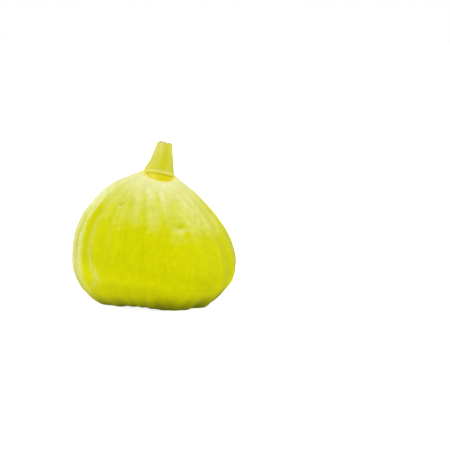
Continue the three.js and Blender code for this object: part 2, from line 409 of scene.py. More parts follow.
class Effects:
    """The effects that several finishes share, each one node group, built once."""

    def __init__(self) -> None:
        """Builds all of them."""
        self.blotches = self.make_blotches()
        self.freckles = self.make_freckles()
        self.fibres = self.make_fibres()
        self.crinkle = self.make_crinkle()

    @staticmethod
    def start(
        name: str, inlets: dict[str, float | None], outlets: tuple[str, ...]
    ) -> tuple[Bench, bpy.types.NodeOutputs, bpy.types.NodeInputs]:
        """Starts a node group with named sockets.

        Args:
            name: The group's name.
            inlets: The first value of each input, or None where it is a place.
            outlets: The name of each output, all of them values.

        Returns:
            The bench of its tree, its inputs as sockets to read, and the sockets that it puts out.
        """
        tree = bpy.data.node_groups.new(name, "ShaderNodeTree")
        for label, value in inlets.items():
            kind = Socket.PLACE if value is None else Socket.VALUE
            made = tree.interface.new_socket(label, in_out="INPUT", socket_type=kind.value)
            if value is not None:
                made.default_value = value
        for label in outlets:
            tree.interface.new_socket(label, in_out="OUTPUT", socket_type=Socket.VALUE.value)
        bench = Bench(tree)
        return bench, bench.node("NodeGroupInput").outputs, bench.node("NodeGroupOutput").inputs

    def make_blotches(self) -> bpy.types.NodeTree:
        """Builds soft, uneven patches with cloudy edges.

        Returns:
            The group.
        """
        inlets = {"Place": None, "Width": 6.0, "Contrast": 1.5}
        bench, inlet, outlet = self.start("soft_blotches", inlets, ("Mask",))
        cloud = bench.noise(inlet["Place"], bench.math("DIVIDE", 1.0, inlet["Width"]), 4.0, 0.55)
        away = bench.math("SUBTRACT", cloud, 0.5)
        wide = bench.math("MULTIPLY_ADD", away, inlet["Contrast"], 0.5)
        bench.feed(outlet["Mask"], bench.ease(wide, 0.0, 1.0))
        return bench.tree

    def make_freckles(self) -> bpy.types.NodeTree:
        """Builds small round specks, scattered unevenly.

        Returns:
            The group.
        """
        inlets = {"Place": None, "Spacing": 2.0, "Radius": 0.2, "Share": 0.5}
        bench, inlet, outlet = self.start("freckles", inlets, ("Mask",))
        feeds = {"Vector": inlet["Place"], "Scale": bench.math("DIVIDE", 1.0, inlet["Spacing"])}
        cells = bench.node("ShaderNodeTexVoronoi", feeds, feature="F1").outputs
        away = bench.times(cells["Distance"], inlet["Spacing"])
        picks = bench.node("ShaderNodeSeparateColor", (cells["Color"],)).outputs
        kept = bench.math("LESS_THAN", picks[0], inlet["Share"])
        reach = bench.times(inlet["Radius"], bench.math("ADD", picks[1], 0.6))
        near = bench.fade(bench.math("DIVIDE", away, reach), (0.35, 1.0))
        bench.feed(outlet["Mask"], bench.times(near, kept))
        return bench.tree

    def make_fibres(self) -> bpy.types.NodeTree:
        """Builds fine streaks that run along the grain.

        Returns:
            The group.
        """
        inlets = {"Grain": None, "Width": 0.6, "Waviness": 0.3}
        bench, inlet, outlet = self.start("fibres", inlets, ("Mask", "Height"))
        spread = bench.node("ShaderNodeCombineXYZ", (inlet["Waviness"], inlet["Waviness"])).outputs[0]
        bent = bench.bent(inlet["Grain"], spread, 0.35, 1.0)
        streaks = bench.noise(bent, bench.math("DIVIDE", 1.0, inlet["Width"]), 3.0, 0.6)
        bench.feed(outlet["Mask"], bench.ease(streaks, 0.3, 0.7))
        bench.feed(outlet["Height"], bench.math("SUBTRACT", streaks, 0.5))
        return bench.tree

    def make_crinkle(self) -> bpy.types.NodeTree:
        """Builds the pebbled, finely creased relief of living tissue.

        Returns:
            The group.
        """
        bench, inlet, outlet = self.start("fine_crinkle", {"Place": None, "Width": 0.8}, ("Height",))
        place = inlet["Place"]
        scale = bench.math("DIVIDE", 1.0, inlet["Width"])
        bent = bench.bent(place, (0.5, 0.5, 0.5), bench.times(scale, 0.6), 2.0)
        feeds = {"Vector": bent, "Scale": scale}
        cells = bench.node("ShaderNodeTexVoronoi", feeds, feature="DISTANCE_TO_EDGE").outputs
        pebble = bench.ease(cells["Distance"], 0.0, 0.3)
        grit = bench.noise(place, bench.times(scale, 3.0), 2.0, 0.5)
        bench.feed(outlet["Height"], bench.weighed(0.0, (pebble, 0.5), (grit, 0.5)))
        return bench.tree


def start_material(name: str) -> tuple[bpy.types.Material, Bench, bpy.types.NodeInputs]:
    """Starts a node material.

    Args:
        name: Its name.

    Returns:
        The material, the bench of its tree, and the inputs of its shader.
    """
    made = bpy.data.materials.new(name)
    made.use_nodes = True
    bench = Bench(made.node_tree)
    shader = bench.node("ShaderNodeBsdfPrincipled")
    bench.node("ShaderNodeOutputMaterial", {"Surface": shader.outputs[0]})
    return made, bench, shader.inputs


# ---------------------------------------------------------------- finishes


@dataclass(frozen=True)
class SkinFinish:
    """Satin fruit skin: yellow-green, pale and waxy towards the collar and on the ribs, with painted sheen
    over the wax, painted highlights on the rib crests and the dents' welts, painted shade in the rib valleys,
    the dents and round the foot, and a painted light band just above the foot.
    """

    flesh: Colour = (0.628, 0.640, 0.001)
    # crest is a painted highlight on the rib crests, and also lends its paler tone to small blotches; valley
    # is painted shade in the rib valleys.
    crest: Colour = (0.660, 0.670, 0.002)
    valley: Colour = (0.600, 0.616, 0.001)
    # low is painted light: a paler band just above the foot, standing in for light that falls there.
    low: Colour = (0.840, 0.850, 0.002)
    # The bloom colour is partly the skin's own waxy bloom and partly painted sheen, standing in for light
    # reflected off the satin skin towards the collar.
    bloom_and_sheen: Colour = (0.818, 0.831, 0.366)
    collar: Colour = (0.835, 0.808, 0.355)
    blush: Colour = (0.935, 0.835, 0.145)
    socket: Colour = (0.780, 0.740, 0.008)
    # under is painted shade: the dark olive that the foot and the rib valleys low down are blended towards,
    # where shade falls near the table.
    under: Colour = (0.200, 0.222, 0.001)
    # The darker colour below is painted shade for the dents' floors.
    dent_shade: Colour = (0.500, 0.515, 0.001)
    lenticel: Colour = (0.730, 0.742, 0.012)
    wax_sheen_rows: Span = (0.632, 0.985)
    wax_sheen_by_rib: float = 0.035
    wax_sheen_by_blotch: float = 0.05
    wax_sheen_power: float = 1.15
    broad_width: float = 9.0
    small_width: float = 1.7
    vein_width: float = 1.15
    hair_width: float = 0.28
    speck_spacing: float = 2.3
    speck_radius: float = 0.22
    pebble_width: float = 0.55
    crest_rows: Span = (0.35, 0.65)
    speck_rows: Span = (0.1, 0.4)
    lit_band_footing: Span = (0.21, 0.33)
    lit_band_rows: Span = (0.36, 0.50)
    shade_footing: Span = (0.12, 0.30)
    eye_rows: Span = (0.09, 0.16)
    pleat_rows: Span = (0.22, 0.36)
    collar_rows: Span = (0.945, 0.985)
    blush_rows: Span = (0.985, 1.01)
    socket_rows: Span = (1.01, 1.03)
    roughness: float = 0.43

    def material(self, effects: Effects) -> bpy.types.Material:
        """Builds the skin.

        Args:
            effects: The shared effects.

        Returns:
            The material.
        """
        made, bench, shader = start_material("fig_skin")
        place, grain = bench.place(), bench.grain()
        share, rib, hollow, welt, wax_sheen = bench.marks("share", "rib", "hollow", "welt", "wax_sheen")
        footing, lit_band_share = bench.marks("footing", "lit_band_share")
        broad = bench.effect(effects.blotches, Place=place, Width=self.broad_width, Contrast=2.2)["Mask"]
        small = bench.effect(effects.blotches, Place=place, Width=self.small_width, Contrast=2.0)["Mask"]
        veins = bench.effect(effects.fibres, Grain=grain, Width=self.vein_width, Waviness=1.2)
        hairs = bench.effect(effects.fibres, Grain=grain, Width=self.hair_width, Waviness=0.6)
        specks = bench.effect(
            effects.freckles, Place=place, Spacing=self.speck_spacing, Radius=self.speck_radius, Share=0.42
        )["Mask"]
        pebbles = bench.effect(effects.crinkle, Place=place, Width=self.pebble_width)

        # The pale film here is partly the skin's waxy bloom and partly painted sheen.
        wax_and_sheen = self.wax_and_sheen(bench, share, rib, broad, small, veins["Mask"], wax_sheen)
        # crest marks where the painted highlight lies on the rib crests, strongest towards the collar.
        crest = bench.times(bench.ease(rib, 0.4, 0.95), bench.fade(share, self.crest_rows, 0.35, 1.0))
        # low is the painted light band just above the foot.
        low = bench.times(bench.fade(footing, self.lit_band_footing, 0.0, 1.0), bench.fade(lit_band_share, self.lit_band_rows))
        # shade is painted shade round the foot: it reaches higher on the right and is weaker on the flat
        # underside.
        shade = bench.fade(footing, self.shade_footing)
        shade = bench.times(shade, bench.fade(share, self.eye_rows, 0.3, 1.0))
        # pleat is painted shade in the rib valleys low on the fruit, blended towards the under colour.
        pleat = bench.times(bench.ease(rib, 0.25, 0.6, 1.0, 0.0), bench.fade(share, self.pleat_rows))
        colour = bench.layered(
            self.valley,
            (bench.ease(rib, 0.0, 0.5), self.flesh),
            (crest, self.crest),
            (bench.times(small, 0.25), self.crest),
            (low, self.low),
            (wax_and_sheen, self.bloom_and_sheen),
            (bench.times(specks, bench.fade(share, self.speck_rows, 0.2, 0.5)), self.lenticel),
            # The dents' floors get painted shade, and the welts below them a painted highlight in the bloom
            # colour.
            (bench.times(hollow, 0.75), self.dent_shade),
            (bench.times(welt, 0.3), self.bloom_and_sheen),
            (shade, self.under),
            (bench.fade(share, self.collar_rows, 0.0, 0.75), self.collar),
            (bench.fade(share, self.blush_rows, 0.0, 0.8), self.blush),
            (bench.fade(share, self.socket_rows, 0.0, 1.0), self.socket),
            (bench.times(pleat, bench.ease(broad, 0.2, 0.8, 0.02, 0.16)), self.under),
        )
        mottle = 1.0
        for mask, least, most in (
            (hairs["Mask"], 0.992, 1.004),
            (veins["Mask"], 0.980, 1.012),
            (small, 0.965, 1.02),
            (broad, 0.985, 1.015),
        ):
            mottle = bench.times(bench.ease(mask, 0.0, 1.0, least, most), mottle)
        height = bench.weighed(
            0.0, (pebbles["Height"], 0.035), (veins["Height"], 0.10), (hairs["Height"], 0.035), (specks, 0.03)
        )
        surface = {
            "Base Color": bench.blend(1.0, colour, bench.grey(mottle), "MULTIPLY"),
            "Roughness": bench.weighed(self.roughness, (wax_and_sheen, 0.14), (small, 0.08), (specks, 0.12)),
            "Normal": bench.relief(height, 0.6),
            "IOR": 1.42,
            "Specular IOR Level": 0.06,
            "Specular Tint": (1.0, 1.0, 0.0),
            "Sheen Weight": 0.07,
            "Sheen Roughness": 0.35,
            "Sheen Tint": (1.0, 1.0, 0.35),
            "Subsurface Weight": 0.15,
            "Subsurface Radius": (1.0, 0.9, 0.25),
            "Subsurface Scale": 1.2 * MM,
        }
        bench.feed_all(shader, surface)
        return made

    def wax_and_sheen(
        self, bench: Bench, share: Feed, rib: Feed, broad: Feed, small: Feed, veins: Feed, wax_sheen: Feed
    ) -> bpy.types.NodeSocket:
        """Says how thickly the pale wax and the painted sheen lie: thicker towards the collar, and where the
        patches add to it.

        Args:
            bench: The bench of the material's tree.
            share: The row's share of the profile.
            rib: How near the crest of a rib is.
            broad: Broad blotches.
            small: Small blotches.
            veins: Fine streaks along the ribs.
            wax_sheen: What the patches add: thicker or thinner wax and painted sheen.

        Returns:
            The share of wax and painted sheen.
        """
        blotch = self.wax_sheen_by_blotch
        start = bench.math("SUBTRACT", share, self.wax_sheen_by_rib / 2 + blotch * 0.85)
        reach = bench.weighed(
            start, (rib, self.wax_sheen_by_rib), (broad, blotch), (veins, blotch * 0.3), (small, blotch * 0.4)
        )
        ramp = bench.node("ShaderNodeMapRange", (reach, *self.wax_sheen_rows), interpolation_type="LINEAR")
        film = bench.math("POWER", ramp.outputs[0], self.wax_sheen_power)
        patches = bench.times(wax_sheen, bench.ease(small, 0.0, 1.0, 0.75, 1.25))
        thick = bench.math("MINIMUM", bench.math("ADD", film, patches), 1.0)
        return bench.math("MAXIMUM", thick, 0.0)


@dataclass(frozen=True)
class StalkFinish:
    """Soft green stalk: furrowed, pale at its lip, deep yellow in the neck under it, dry at its cut, with
    painted shade in its furrows and in a band down its front, right of the middle.
    """

    stem: Colour = (0.650, 0.650, 0.066)
    shaded: Colour = (0.615, 0.608, 0.006)
    pale: Colour = (0.730, 0.716, 0.170)
    lip: Colour = (0.850, 0.810, 0.170)
    neck: Colour = (0.740, 0.680, 0.009)
    neck_speck: Colour = (0.850, 0.780, 0.090)
    tan: Colour = (0.700, 0.640, 0.100)
    cut: Colour = (0.690, 0.665, 0.240)
    cut_dry: Colour = (0.440, 0.415, 0.140)
    broad_width: float = 3.0
    small_width: float = 0.7
    strand_width: float = 0.22
    streak_width: float = 0.8
    speck_spacing: float = 1.0
    speck_radius: float = 0.16
    pebble_width: float = 0.4
    neck_end: Span = (2.3, 2.5)
    lip_start: Span = (2.25, 2.5)
    lip_end: Span = (2.8, 3.6)
    fading: Span = (7.5, 12.0)
    roughness: float = 0.52

    def material(self, effects: Effects) -> bpy.types.Material:
        """Builds the stalk's finish.

        Args:
            effects: The shared effects.

        Returns:
            The material.
        """
        made, bench, shader = start_material("fig_stalk")
        place, grain = bench.place(), bench.grain()
        rise, cut, furrow, band, flank = bench.marks("rise", "cut", "furrow", "band", "flank")
        broad = bench.effect(effects.blotches, Place=place, Width=self.broad_width, Contrast=2.0)["Mask"]
        small = bench.effect(effects.blotches, Place=place, Width=self.small_width, Contrast=2.4)["Mask"]
        strands = bench.effect(effects.fibres, Grain=grain, Width=self.strand_width, Waviness=0.35)
        streaks = bench.effect(effects.fibres, Grain=grain, Width=self.streak_width, Waviness=0.5)
        specks = bench.effect(
            effects.freckles, Place=place, Spacing=self.speck_spacing, Radius=self.speck_radius, Share=0.5
        )["Mask"]
        pebbles = bench.effect(effects.crinkle, Place=place, Width=self.pebble_width)

        beside_band = bench.weighed(1.0, (band, -0.75))
        speckled = bench.times(bench.ease(small, 0.2, 0.9, 0.35, 1.0), bench.math("SUBTRACT", 1.0, band))
        lip = bench.times(bench.fade(rise, self.lip_start, 0.0, 1.0), bench.fade(rise, self.lip_end))
        # Painted shade: the furrows and the band down the front, right of the middle, take the shaded colour;
        # the broad blotches take it for uneven tone. The band's side of the neck keeps no specks.
        colour = bench.layered(
            self.stem,
            (bench.times(streaks["Mask"], 0.6), self.pale),
            (bench.times(furrow, 0.3), self.shaded),
            (bench.times(band, 0.9), self.shaded),
            (bench.times(broad, 0.2), self.shaded),
            (bench.times(flank, 0.6), self.tan),
            (bench.times(bench.fade(rise, self.fading, 0.0, 0.75), beside_band), self.pale),
            (bench.times(specks, 0.35), self.lip),
            (bench.times(lip, 0.7), self.lip),
            (bench.fade(rise, self.neck_end), bench.blend(speckled, self.neck, self.neck_speck)),
            (cut, bench.blend(small, self.cut, self.cut_dry)),
        )
        grit = bench.times(small, cut)
        height = bench.weighed(
            0.0, (pebbles["Height"], 0.03), (strands["Height"], 0.08), (streaks["Height"], 0.10), (grit, 0.12)
        )
        surface = {
            "Base Color": colour,
            "Roughness": bench.weighed(self.roughness, (small, 0.12), (cut, 0.25)),
            "Normal": bench.relief(height, 0.7),
            "IOR": 1.42,
            "Specular IOR Level": 0.35,
            "Specular Tint": (1.0, 1.0, 0.1),
            "Subsurface Weight": 0.1,
            "Subsurface Radius": (1.0, 0.9, 0.3),
            "Subsurface Scale": 0.8 * MM,
        }
        bench.feed_all(shader, surface)
        return made


@dataclass(frozen=True)
class BractFinish:
    """Papery scales: tan, browner at their tips and edges, greenish where they grow."""

    root: Colour = (0.540, 0.500, 0.120)
    papery: Colour = (0.560, 0.330, 0.130)
    tip: Colour = (0.200, 0.090, 0.040)
    small_width: float = 0.6
    strand_width: float = 0.16
    speck_spacing: float = 0.6
    speck_radius: float = 0.1
    pebble_width: float = 0.25
    roughness: float = 0.66

    def material(self, effects: Effects) -> bpy.types.Material:
        """Builds the scales' finish.

        Args:
            effects: The shared effects.

        Returns:
            The material.
        """
        made, bench, shader = start_material("eye_bracts")
        place = bench.place()
        tipness, edge = bench.marks("tip", "edge")
        small = bench.effect(effects.blotches, Place=place, Width=self.small_width, Contrast=2.4)["Mask"]
        strands = bench.effect(effects.fibres, Grain=bench.grain(), Width=self.strand_width, Waviness=0.2)
        specks = bench.effect(
            effects.freckles, Place=place, Spacing=self.speck_spacing, Radius=self.speck_radius, Share=0.4
        )["Mask"]
        pebbles = bench.effect(effects.crinkle, Place=place, Width=self.pebble_width)

        dark = bench.weighed(bench.ease(tipness, 0.6, 1.05, 0.0, 0.8), (edge, 0.6))
        dark = bench.times(bench.math("MINIMUM", dark, 1.0), bench.ease(small, 0.0, 0.7, 0.55, 1.0))
        colour = bench.layered(
            self.root,
            (bench.ease(tipness, 0.1, 0.6), self.papery),
            (bench.times(strands["Mask"], 0.35), self.root),
            (dark, self.tip),
            (bench.times(specks, 0.5), self.tip),
        )
        height = bench.weighed(0.0, (pebbles["Height"], 0.03), (strands["Height"], 0.07))
        surface = {
            "Base Color": colour,
            "Roughness": bench.weighed(self.roughness, (small, 0.16)),
            "Normal": bench.relief(height, 0.8),
            "Specular IOR Level": 0.3,
        }
        bench.feed_all(shader, surface)
        return made


@dataclass(frozen=True)
class TableFinish:
    """Plain white table: matt, faintly uneven, and clear where it is seen from underneath."""

    white: Colour = (0.92, 0.92, 0.92)
    shade: Colour = (0.89, 0.89, 0.88)
    bounce: Colour = (0.31, 0.31, 0.31)
    under_glow: float = 0.055
    glow: Span = (0.78, 1.0)
    glow_reach: Span = (120.0, 420.0)
    cloud_width: float = 60.0
    roughness: float = 0.7

    def material(self, effects: Effects) -> bpy.types.Material:
        """Builds the table's finish, which looks white and throws little light back on the fruit.

        Args:
            effects: The shared effects.

        Returns:
            The material.
        """
        made, bench, shader = start_material("white_table")
        place = bench.place()
        cloud = bench.effect(effects.blotches, Place=place, Width=self.cloud_width, Contrast=1.5)["Mask"]
        seen = bench.node("ShaderNodeLightPath").outputs["Is Camera Ray"]
        paper = bench.blend(cloud, self.white, self.shade)
        away = bench.node("ShaderNodeVectorMath", (place,), operation="LENGTH").outputs["Value"]
        glow = bench.times(bench.fade(away, self.glow_reach, *self.glow), seen)
        surface = {
            "Base Color": bench.blend(seen, self.bounce, paper),
            "Emission Strength": bench.math("MAXIMUM", glow, self.under_glow),
            "Emission Color": WHITE,
            "Roughness": self.roughness,
        }
        bench.feed_all(shader, surface)
        behind = bench.node("ShaderNodeNewGeometry").outputs["Backfacing"]
        clear = bench.node("ShaderNodeBsdfTransparent").outputs[0]
        nodes = bench.tree.nodes
        from_below = bench.node("ShaderNodeMixShader", (behind, nodes["Principled BSDF"].outputs[0], clear))
        bench.feed(nodes["Material Output"].inputs["Surface"], from_below.outputs[0])
        return made


# ---------------------------------------------------------------- fruit


@dataclass(frozen=True)
class Dent:
    """A small dent in the skin, with a low welt on its lower side. Sizes in millimetres."""

    azimuth: float
    share: float
    radius: float
    depth: float
    stretch: float
    floor_spread: float = 1.4
    welt_distance: float = 1.55
    welt_width: float = 0.45
    welt_share: float = 0.4

    def shape(self, points: Values, centre: Values) -> tuple[Values, Values, Values]:
        """Works out the dent over the whole skin.

        Args:
            points: The skin without it.
            centre: Its middle.

        Returns:
            The lift that it gives, the mask of its floor, and the mask of its welt.
        """
        away = (points - centre) / self.radius / [self.stretch, self.stretch, 1]
        distance = np.linalg.norm(away, axis=-1)
        below = np.clip(-away[..., 2] / np.maximum(distance, 0.01), 0, 1)
        floor = np.exp(-(distance**2) * self.floor_spread)
        welt = bell(distance - self.welt_distance, self.welt_width) * below**1.5
        return self.depth * (self.welt_share * welt - floor), floor, welt


@dataclass(frozen=True)
class Bank:
    """A stretch round the fruit's foot where the painted shade and the painted light band above it start
    lower or higher than elsewhere.

    Attributes:
        azimuth: Its middle, in radians.
        half_width: How far it reaches to either side, in radians.
        foot: What it adds to the footing, which places the painted shade and the painted light band's lower
            edge.
        low: What it adds to the profile's share where the painted light band fades out.
    """

    azimuth: float
    half_width: float
    foot: float
    low: float


@dataclass(frozen=True)
class Swell:
    """A soft swelling of the skin. Its lift is in millimetres, its half height in shares of the profile."""

    azimuth: float
    share: float
    half_width: float
    half_height: float
    lift: float

    def over(self, azimuth: Values, v: Values) -> Values:
        """Gives how far it lifts the skin.

        Args:
            azimuth: The skin's azimuths, after gathering.
            v: Their shares of the profile.

        Returns:
            The lift.
        """
        aside = bell(away_from(azimuth, self.azimuth), self.half_width)
        return self.lift * aside * bell(v - self.share, self.half_height)


@dataclass(frozen=True)
class WaxSheenPatch:
    """A patch of skin where the wax and the painted sheen lie thicker, or thinner where the amount is
    negative.

    Its place and half width are counted in ribs, its row and half height in shares of the profile.
    """

    rib: float
    share: float
    half_width: float
    half_height: float
    amount: float
    slant: float = 0.0
    sharpness: int = 4

    def over(self, s: Values, v: Values, ribs: int) -> Values:
        """Gives how much wax and painted sheen it adds.

        Args:
            s: The skin's places among the ribs.
            v: Their shares of the profile.
            ribs: How many ribs the fruit has.

        Returns:
            The share of wax and painted sheen.
        """
        aside = (s - self.rib - self.slant * (v - self.share) + ribs / 2) % ribs - ribs / 2
        along = bell(v - self.share, self.half_height, 4)
        return self.amount * bell(aside, self.half_width, self.sharpness) * along


@dataclass
class Fruit:
    """The ribbed fruit, with the eye's recess below and the stalk's socket above. Sizes in millimetres.

    A span says where something starts and where it is complete: in shares of the profile for rows, starts
    and ends, in millimetres for heights, and in radians for sides. The wild ones are what draws range over.

    Attributes:
        profile: Radius and height of the plump form, from the rim of the eye to the rim of the collar.
        collar_slope: Radius of each ring inside the collar, and its drop under the rim where it is open.
        eye_wall: How far up the eye's wall each of its rings stands, as a share of it.
    """

    profile: tuple = (
        (4.3, 1.3),
        (10.3, 0.2),
        (16.3, 0.3),
        (21.3, 3.4),
        (24.4, 7.6),
        (25.9, 11.8),
        (25.65, 17.8),
        (23.25, 24.35),
        (19.05, 30.1),
        (14.25, 34.9),
        (10.75, 37.25),
        (8.5, 38.65),
        (5.75, 40.95),
    )
    slump_right: float = math.tan(math.radians(9.2))
    slump_right_heights: Span = (2, 22)
    slump_front: float = math.tan(math.radians(11))
    slump_front_heights: Span = (4, 26)
    base_share: float = 0.27
    crown_shift: float = 0.95
    crown_heights: Span = (0, 22)
    neck_shift: tuple[float, float] = (0.95, -1.5)
    neck_rows: Span = (0.86, 1.0)

    lobes: int = 3
    lobe_height: float = 0.96
    lobe_azimuth: float = math.radians(46)
    lobe_start: Span = (0.06, 0.16)
    lobe_end: Span = (0.24, 0.5)
    rest_level: float = 0.4
    rest_rounding: float = 0.35

    rib_count: int = 20
    rib_start: float = math.radians(-2.6)
    rib_relief: float = 1.0
    rib_crest_level: float = 0.7
    rib_sharpness: float = 1.2
    fine_rib_relief: float = 0.22
    fine_rib_end: Span = (0.4, 0.62)
    rib_start_share: float = 0.5
    rib_swell_rows: Span = (0.25, 0.55)
    rib_end: Span = (0.86, 0.99)
    rib_uneven_spacing: float = math.radians(3.4)
    rib_wander: float = math.radians(1.0)
    rib_wander_waves: float = 1.6
    rib_gather: float = math.radians(24)
    rib_gather_azimuth: float = math.radians(8)
    rib_gather_end: Span = (0.35, 0.95)
    neck_twist: float = math.radians(14)
    neck_twist_rows: Span = (0.8, 0.98)
    smooth_side: float = math.radians(14)
    smooth_side_loss: float = 0.74
    plump_azimuth: float = math.radians(5)
    plump_sides: Span = (math.radians(45), math.radians(72))
    plump_front: float = 0.45
    plump_front_rows: Span = (0.32, 0.46)
    plump_crown: float = 0.5
    plump_crown_rows: Span = (0.66, 0.84)
    pleat_boost: float = 1.2
    foot_calm: float = 0.15
    foot_calm_rows: Span = (0.2, 0.36)
    spacing_seed: int = 22348
    boldness_seed: int = 24227
    wander_seed: int = 7

    columns_per_rib: int = 20
    rows: int = 236

    lump_width: float = 8.0
    lump_height: float = 0.12
    lump_seed: float = 3.7
    ripple_width: float = 2.6
    ripple_height: float = 0.045
    ripple_seed: float = 11.3
    lump_start: Span = (0.1, 0.3)
    lump_end: Span = (0.9, 0.99)

    collar_slope: tuple = ((5.62, -0.12), (5.42, -0.15), (5.2, 0.1), (4.98, 0.4), (4.72, 0.75), (4.46, 1.2))
    opening_azimuth: float = math.radians(8)
    opening_half_width: float = math.radians(42)
    closed_rise: float = 0.5
    socket_share_step: float = 0.008
    rim_rise: float = 0.28
    rim_rise_rows: Span = (0.94, 1.0)
    rim_rise_azimuth: float = math.radians(18)
    rim_rise_half_width: float = math.radians(50)
    socket_floor: float = 38.0
    socket_rows: int = 5
    collar_centre: tuple[float, float] = (2.05, -1.5)
    collar_wave_height: float = 0.45
    collar_wave_azimuth: float = math.radians(-12)
    collar_wave_rows: Span = (0.9, 1.0)

    eye_floor: float = 3.9
    eye_grip: float = 3.72
    eye_hub: float = 1.86
    eye_rows: int = 5
    eye_wall: tuple = (0.0, 0.35, 0.7)
    eye_wall_flare: float = 1.5
    grain_radius: float = 24.0
    grain_length: float = 7.0

    dents: tuple[Dent, ...] = (
        Dent(math.radians(-40.6), 0.729, 0.75, 0.30, 1.2),
        Dent(math.radians(27.3), 0.683, 0.90, 0.34, 1.7),
        Dent(math.radians(128), 0.66, 1.1, 0.36, 1.5),
        Dent(math.radians(-150), 0.55, 0.9, 0.30, 1.3),
        Dent(math.radians(170), 0.84, 0.9, 0.32, 1.4),
        Dent(math.radians(82), 0.47, 0.9, 0.28, 1.2),
    )
    swells: tuple[Swell, ...] = (
        Swell(math.radians(102), 0.885, math.radians(36), 0.065, 0.65),
        Swell(math.radians(-105), 0.920, math.radians(30), 0.050, 0.25),
        Swell(math.radians(-82), 0.570, math.radians(30), 0.120, 0.20),
        Swell(math.radians(43), 0.210, math.radians(5), 0.060, -0.60),
        Swell(math.radians(53), 0.210, math.radians(6), 0.060, 0.40),
    )
    # The listed patches paint sheen where light reflects, such as the pale band down the left side and the
    # streaks under the collar, as well as thicker and thinner wax; negative ones leave darker stripes between
    # them.
    wax_sheen_patches: tuple[WaxSheenPatch, ...] = (
        WaxSheenPatch(-4.42, 0.55, 0.60, 0.38, 0.46, sharpness=10),
        WaxSheenPatch(-5.15, 0.53, 0.42, 0.30, 0.34, 0.6),
        WaxSheenPatch(-5.75, 0.60, 0.40, 0.17, 0.24, 1.5),
        WaxSheenPatch(-6.30, 0.52, 0.26, 0.13, 0.16, -1.0),
        WaxSheenPatch(-4.5, 0.39, 0.65, 0.07, 0.25, 0.8),
        WaxSheenPatch(-4.6, 0.68, 0.70, 0.06, 0.20),
        WaxSheenPatch(-3.92, 0.50, 0.07, 0.16, 0.15),
        WaxSheenPatch(-4.48, 0.52, 0.13, 0.26, -0.26, sharpness=2),
        WaxSheenPatch(-4.95, 0.60, 0.07, 0.16, -0.12, 0.5, sharpness=2),
        WaxSheenPatch(-5.50, 0.58, 0.12, 0.24, -0.20, 0.8, sharpness=2),
        WaxSheenPatch(-3.35, 0.58, 0.17, 0.075, 0.10),
        WaxSheenPatch(-3.10, 0.420, 0.20, 0.042, 0.23, -2.0),
        WaxSheenPatch(-3.31, 0.485, 0.09, 0.04, 0.13, -2.5),
        WaxSheenPatch(-3.26, 0.355, 0.13, 0.045, 0.15, 4.5),
        WaxSheenPatch(-3.78, 0.29, 0.16, 0.05, 0.12),
        WaxSheenPatch(-3.74, 0.62, 0.12, 0.09, -0.12),
        WaxSheenPatch(-3.3, 0.655, 0.14, 0.03, 0.05),
        WaxSheenPatch(-2.5, 0.60, 0.14, 0.05, 0.03),
        WaxSheenPatch(-1.35, 0.805, 0.32, 0.022, 0.22, -8.0),
        WaxSheenPatch(-1.75, 0.765, 0.20, 0.035, -0.13),
        WaxSheenPatch(-2.7, 0.775, 0.45, 0.03, -0.07),
        WaxSheenPatch(-1.05, 0.745, 0.38, 0.030, 0.13, sharpness=2),
        WaxSheenPatch(-1.60, 0.698, 0.90, 0.020, 0.06),
        WaxSheenPatch(-2.85, 0.705, 0.30, 0.022, -0.12),
        WaxSheenPatch(-3.60, 0.800, 0.28, 0.040, -0.12),
        WaxSheenPatch(-3.80, 0.530, 0.11, 0.050, 0.12, sharpness=2),
        WaxSheenPatch(-3.62, 0.490, 0.13, 0.150, -0.12),
        WaxSheenPatch(-0.55, 0.82, 0.24, 0.10, -0.20, sharpness=2),
        WaxSheenPatch(-0.42, 0.70, 0.15, 0.05, -0.12, -2.0, sharpness=2),
        WaxSheenPatch(0.12, 0.865, 0.19, 0.085, 0.28, 3.4, sharpness=2),
        WaxSheenPatch(0.2, 0.71, 0.40, 0.035, 0.09),
        WaxSheenPatch(0.64, 0.835, 0.22, 0.075, -0.24, 2.0, sharpness=2),
        WaxSheenPatch(0.76, 0.740, 0.17, 0.070, -0.15, sharpness=2),
        WaxSheenPatch(1.10, 0.855, 0.19, 0.10, 0.34, 3.6, sharpness=2),
        WaxSheenPatch(0.95, 0.755, 0.13, 0.06, 0.16, 1.5),
        WaxSheenPatch(1.45, 0.925, 0.22, 0.035, 0.14, 4.0),
        WaxSheenPatch(1.95, 0.785, 0.45, 0.045, -0.17),
        WaxSheenPatch(1.65, 0.667, 0.38, 0.012, 0.16),
        WaxSheenPatch(1.5, 0.633, 0.36, 0.014, 0.07),
        WaxSheenPatch(2.1, 0.687, 0.28, 0.010, -0.14),
        WaxSheenPatch(2.35, 0.655, 0.26, 0.012, -0.10),
        WaxSheenPatch(3.1, 0.68, 0.75, 0.03, 0.07),
        WaxSheenPatch(3.7, 0.765, 1.10, 0.105, 0.25, sharpness=2),
        WaxSheenPatch(4.6, 0.66, 0.80, 0.035, 0.12),
    )
    # footing_tilt and the banks' foot place the painted shade round the foot: it reaches higher on the right,
    # and the banks raise and lower it in a few stretches.
    footing_tilt: float = 0.045
    banks: tuple[Bank, ...] = (
        Bank(math.radians(-11), math.radians(14), 0.014, -0.022),
        Bank(math.radians(12), math.radians(6), -0.024, 0.0),
        Bank(math.radians(42), math.radians(16), 0.0, 0.055),
    )
    wild_frosts: int = 26
    wild_seed: int = 431
    wild_places: Span = (5.6, 14.6)
    wild_shares: Span = (0.62, 0.9)
    wild_half_widths: Span = (0.12, 0.34)
    wild_half_heights: Span = (0.02, 0.08)
    wild_amounts: Span = (0.12, 0.26)
    wild_slant: float = 4.0

